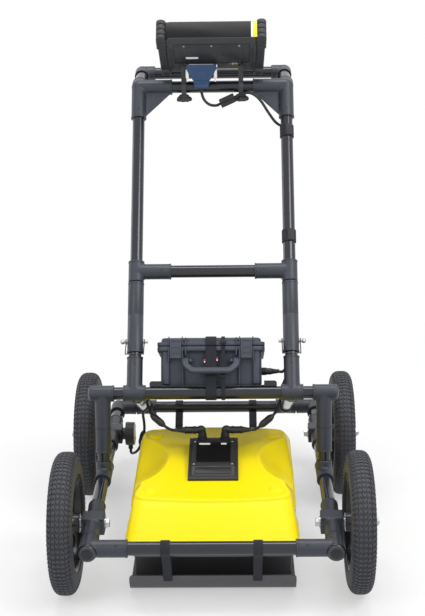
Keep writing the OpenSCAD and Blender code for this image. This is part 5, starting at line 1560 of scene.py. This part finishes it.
# %% [markdown]
# ## Studio
# The picture is a cut-out on white. The floor is pale and takes the cart's soft shadow near it,
# and fades to plain white further out. The world is white to the camera and to reflections, and
# gives a plainer light to everything else, with four large soft lamps for shape.

# %% Floor
FLOOR_R, FLOOR_T, FLOOR_DROP = 30000, 30, 0.5
FADE_NEAR, FADE_FAR = 0.5, 1.6
GLOW_LEAST = 0.45


def seen_directly(tree):
    """1 for rays from the camera, off gloss or through glass, and 0 for all others."""
    rays = tree.nodes.new("ShaderNodeLightPath").outputs
    mirrored = math_node(tree, "MAXIMUM", rays["Is Glossy Ray"], rays["Is Transmission Ray"])
    return math_node(tree, "MAXIMUM", rays["Is Camera Ray"], mirrored)


bm = bmesh.new()
lathe(bm, [(FLOOR_R, -FLOOR_T)] + [(r, -FLOOR_DROP) for r in (FLOOR_R, 6000, 2500, 10)], steps=64)
floor_paint = moulded("floor_paint", (0.86, 0.86, 0.86), 0.7, tone=0.01, tone_scale=3, depth=0.00002)
tree = floor_paint.node_tree
output = tree.nodes["Material Output"]
place = tree.nodes.new("ShaderNodeTexCoord").outputs["Object"]
far = tree.nodes.new("ShaderNodeVectorMath")
far.operation = "LENGTH"
tree.links.new(place, far.inputs[0])
fade = tree.nodes.new("ShaderNodeMapRange")
fade_values = {"From Min": FADE_NEAR, "From Max": FADE_FAR, "To Min": GLOW_LEAST, "To Max": 1.0}
for label, value in fade_values.items():
    fade.inputs[label].default_value = value
tree.links.new(far.outputs["Value"], fade.inputs["Value"])
glow = tree.nodes.new("ShaderNodeEmission")
blend = tree.nodes.new("ShaderNodeMixShader")
glowing = math_node(tree, "MULTIPLY", seen_directly(tree), fade.outputs["Result"])
tree.links.new(glowing, blend.inputs["Fac"])
tree.links.new(tree.nodes["Principled BSDF"].outputs["BSDF"], blend.inputs[1])
tree.links.new(glow.outputs["Emission"], blend.inputs[2])
tree.links.new(blend.outputs["Shader"], output.inputs["Surface"])
floor = put_in_scene("floor", smooth_mesh(bm, "floor", [floor_paint]))
print("floor radius", FLOOR_R / METRE, "m")

# %% World and lamps
SKY_SEEN, SKY_LIGHT = 1.0, 0.7
world = bpy.data.worlds.new("studio")
bpy.context.scene.world = world
world.use_nodes = True
tree = world.node_tree
sky = tree.nodes["Background"]
sky.inputs["Color"].default_value = (1, 1, 1, 1)
extra = math_node(tree, "MULTIPLY", seen_directly(tree), SKY_SEEN - SKY_LIGHT)
tree.links.new(math_node(tree, "ADD", extra, SKY_LIGHT), sky.inputs["Strength"])


def soft_lamp(name, at, target, size, watts):
    lamp = bpy.data.lights.new(name, "AREA")
    lamp.shape = "RECTANGLE"
    lamp.size, lamp.size_y = size
    lamp.energy = watts
    thing = put_in_scene(name, lamp)
    thing.location = at
    thing.rotation_euler = (Vector(target) - Vector(at)).to_track_quat("-Z", "Y").to_euler()


soft_lamp("key", at=(1.9, -1.5, 2.9), target=(0, 0, 0.5), size=(1.6, 1.5), watts=44)
soft_lamp("fill", at=(-2.0, -2.6, 2.6), target=(0, 0, 0.4), size=(1.2, 1.2), watts=23)
soft_lamp("top", at=(0, 0.5, 3.3), target=(0, 0.1, 0.3), size=(2.4, 0.9), watts=38)
soft_lamp("rim", at=(-2.6, 1.4, 0.9), target=(0, 0.1, 0.7), size=(0.5, 1.4), watts=6)
bpy.context.scene.view_settings.view_transform = "Standard"
print("lamps:", len(bpy.data.lights))
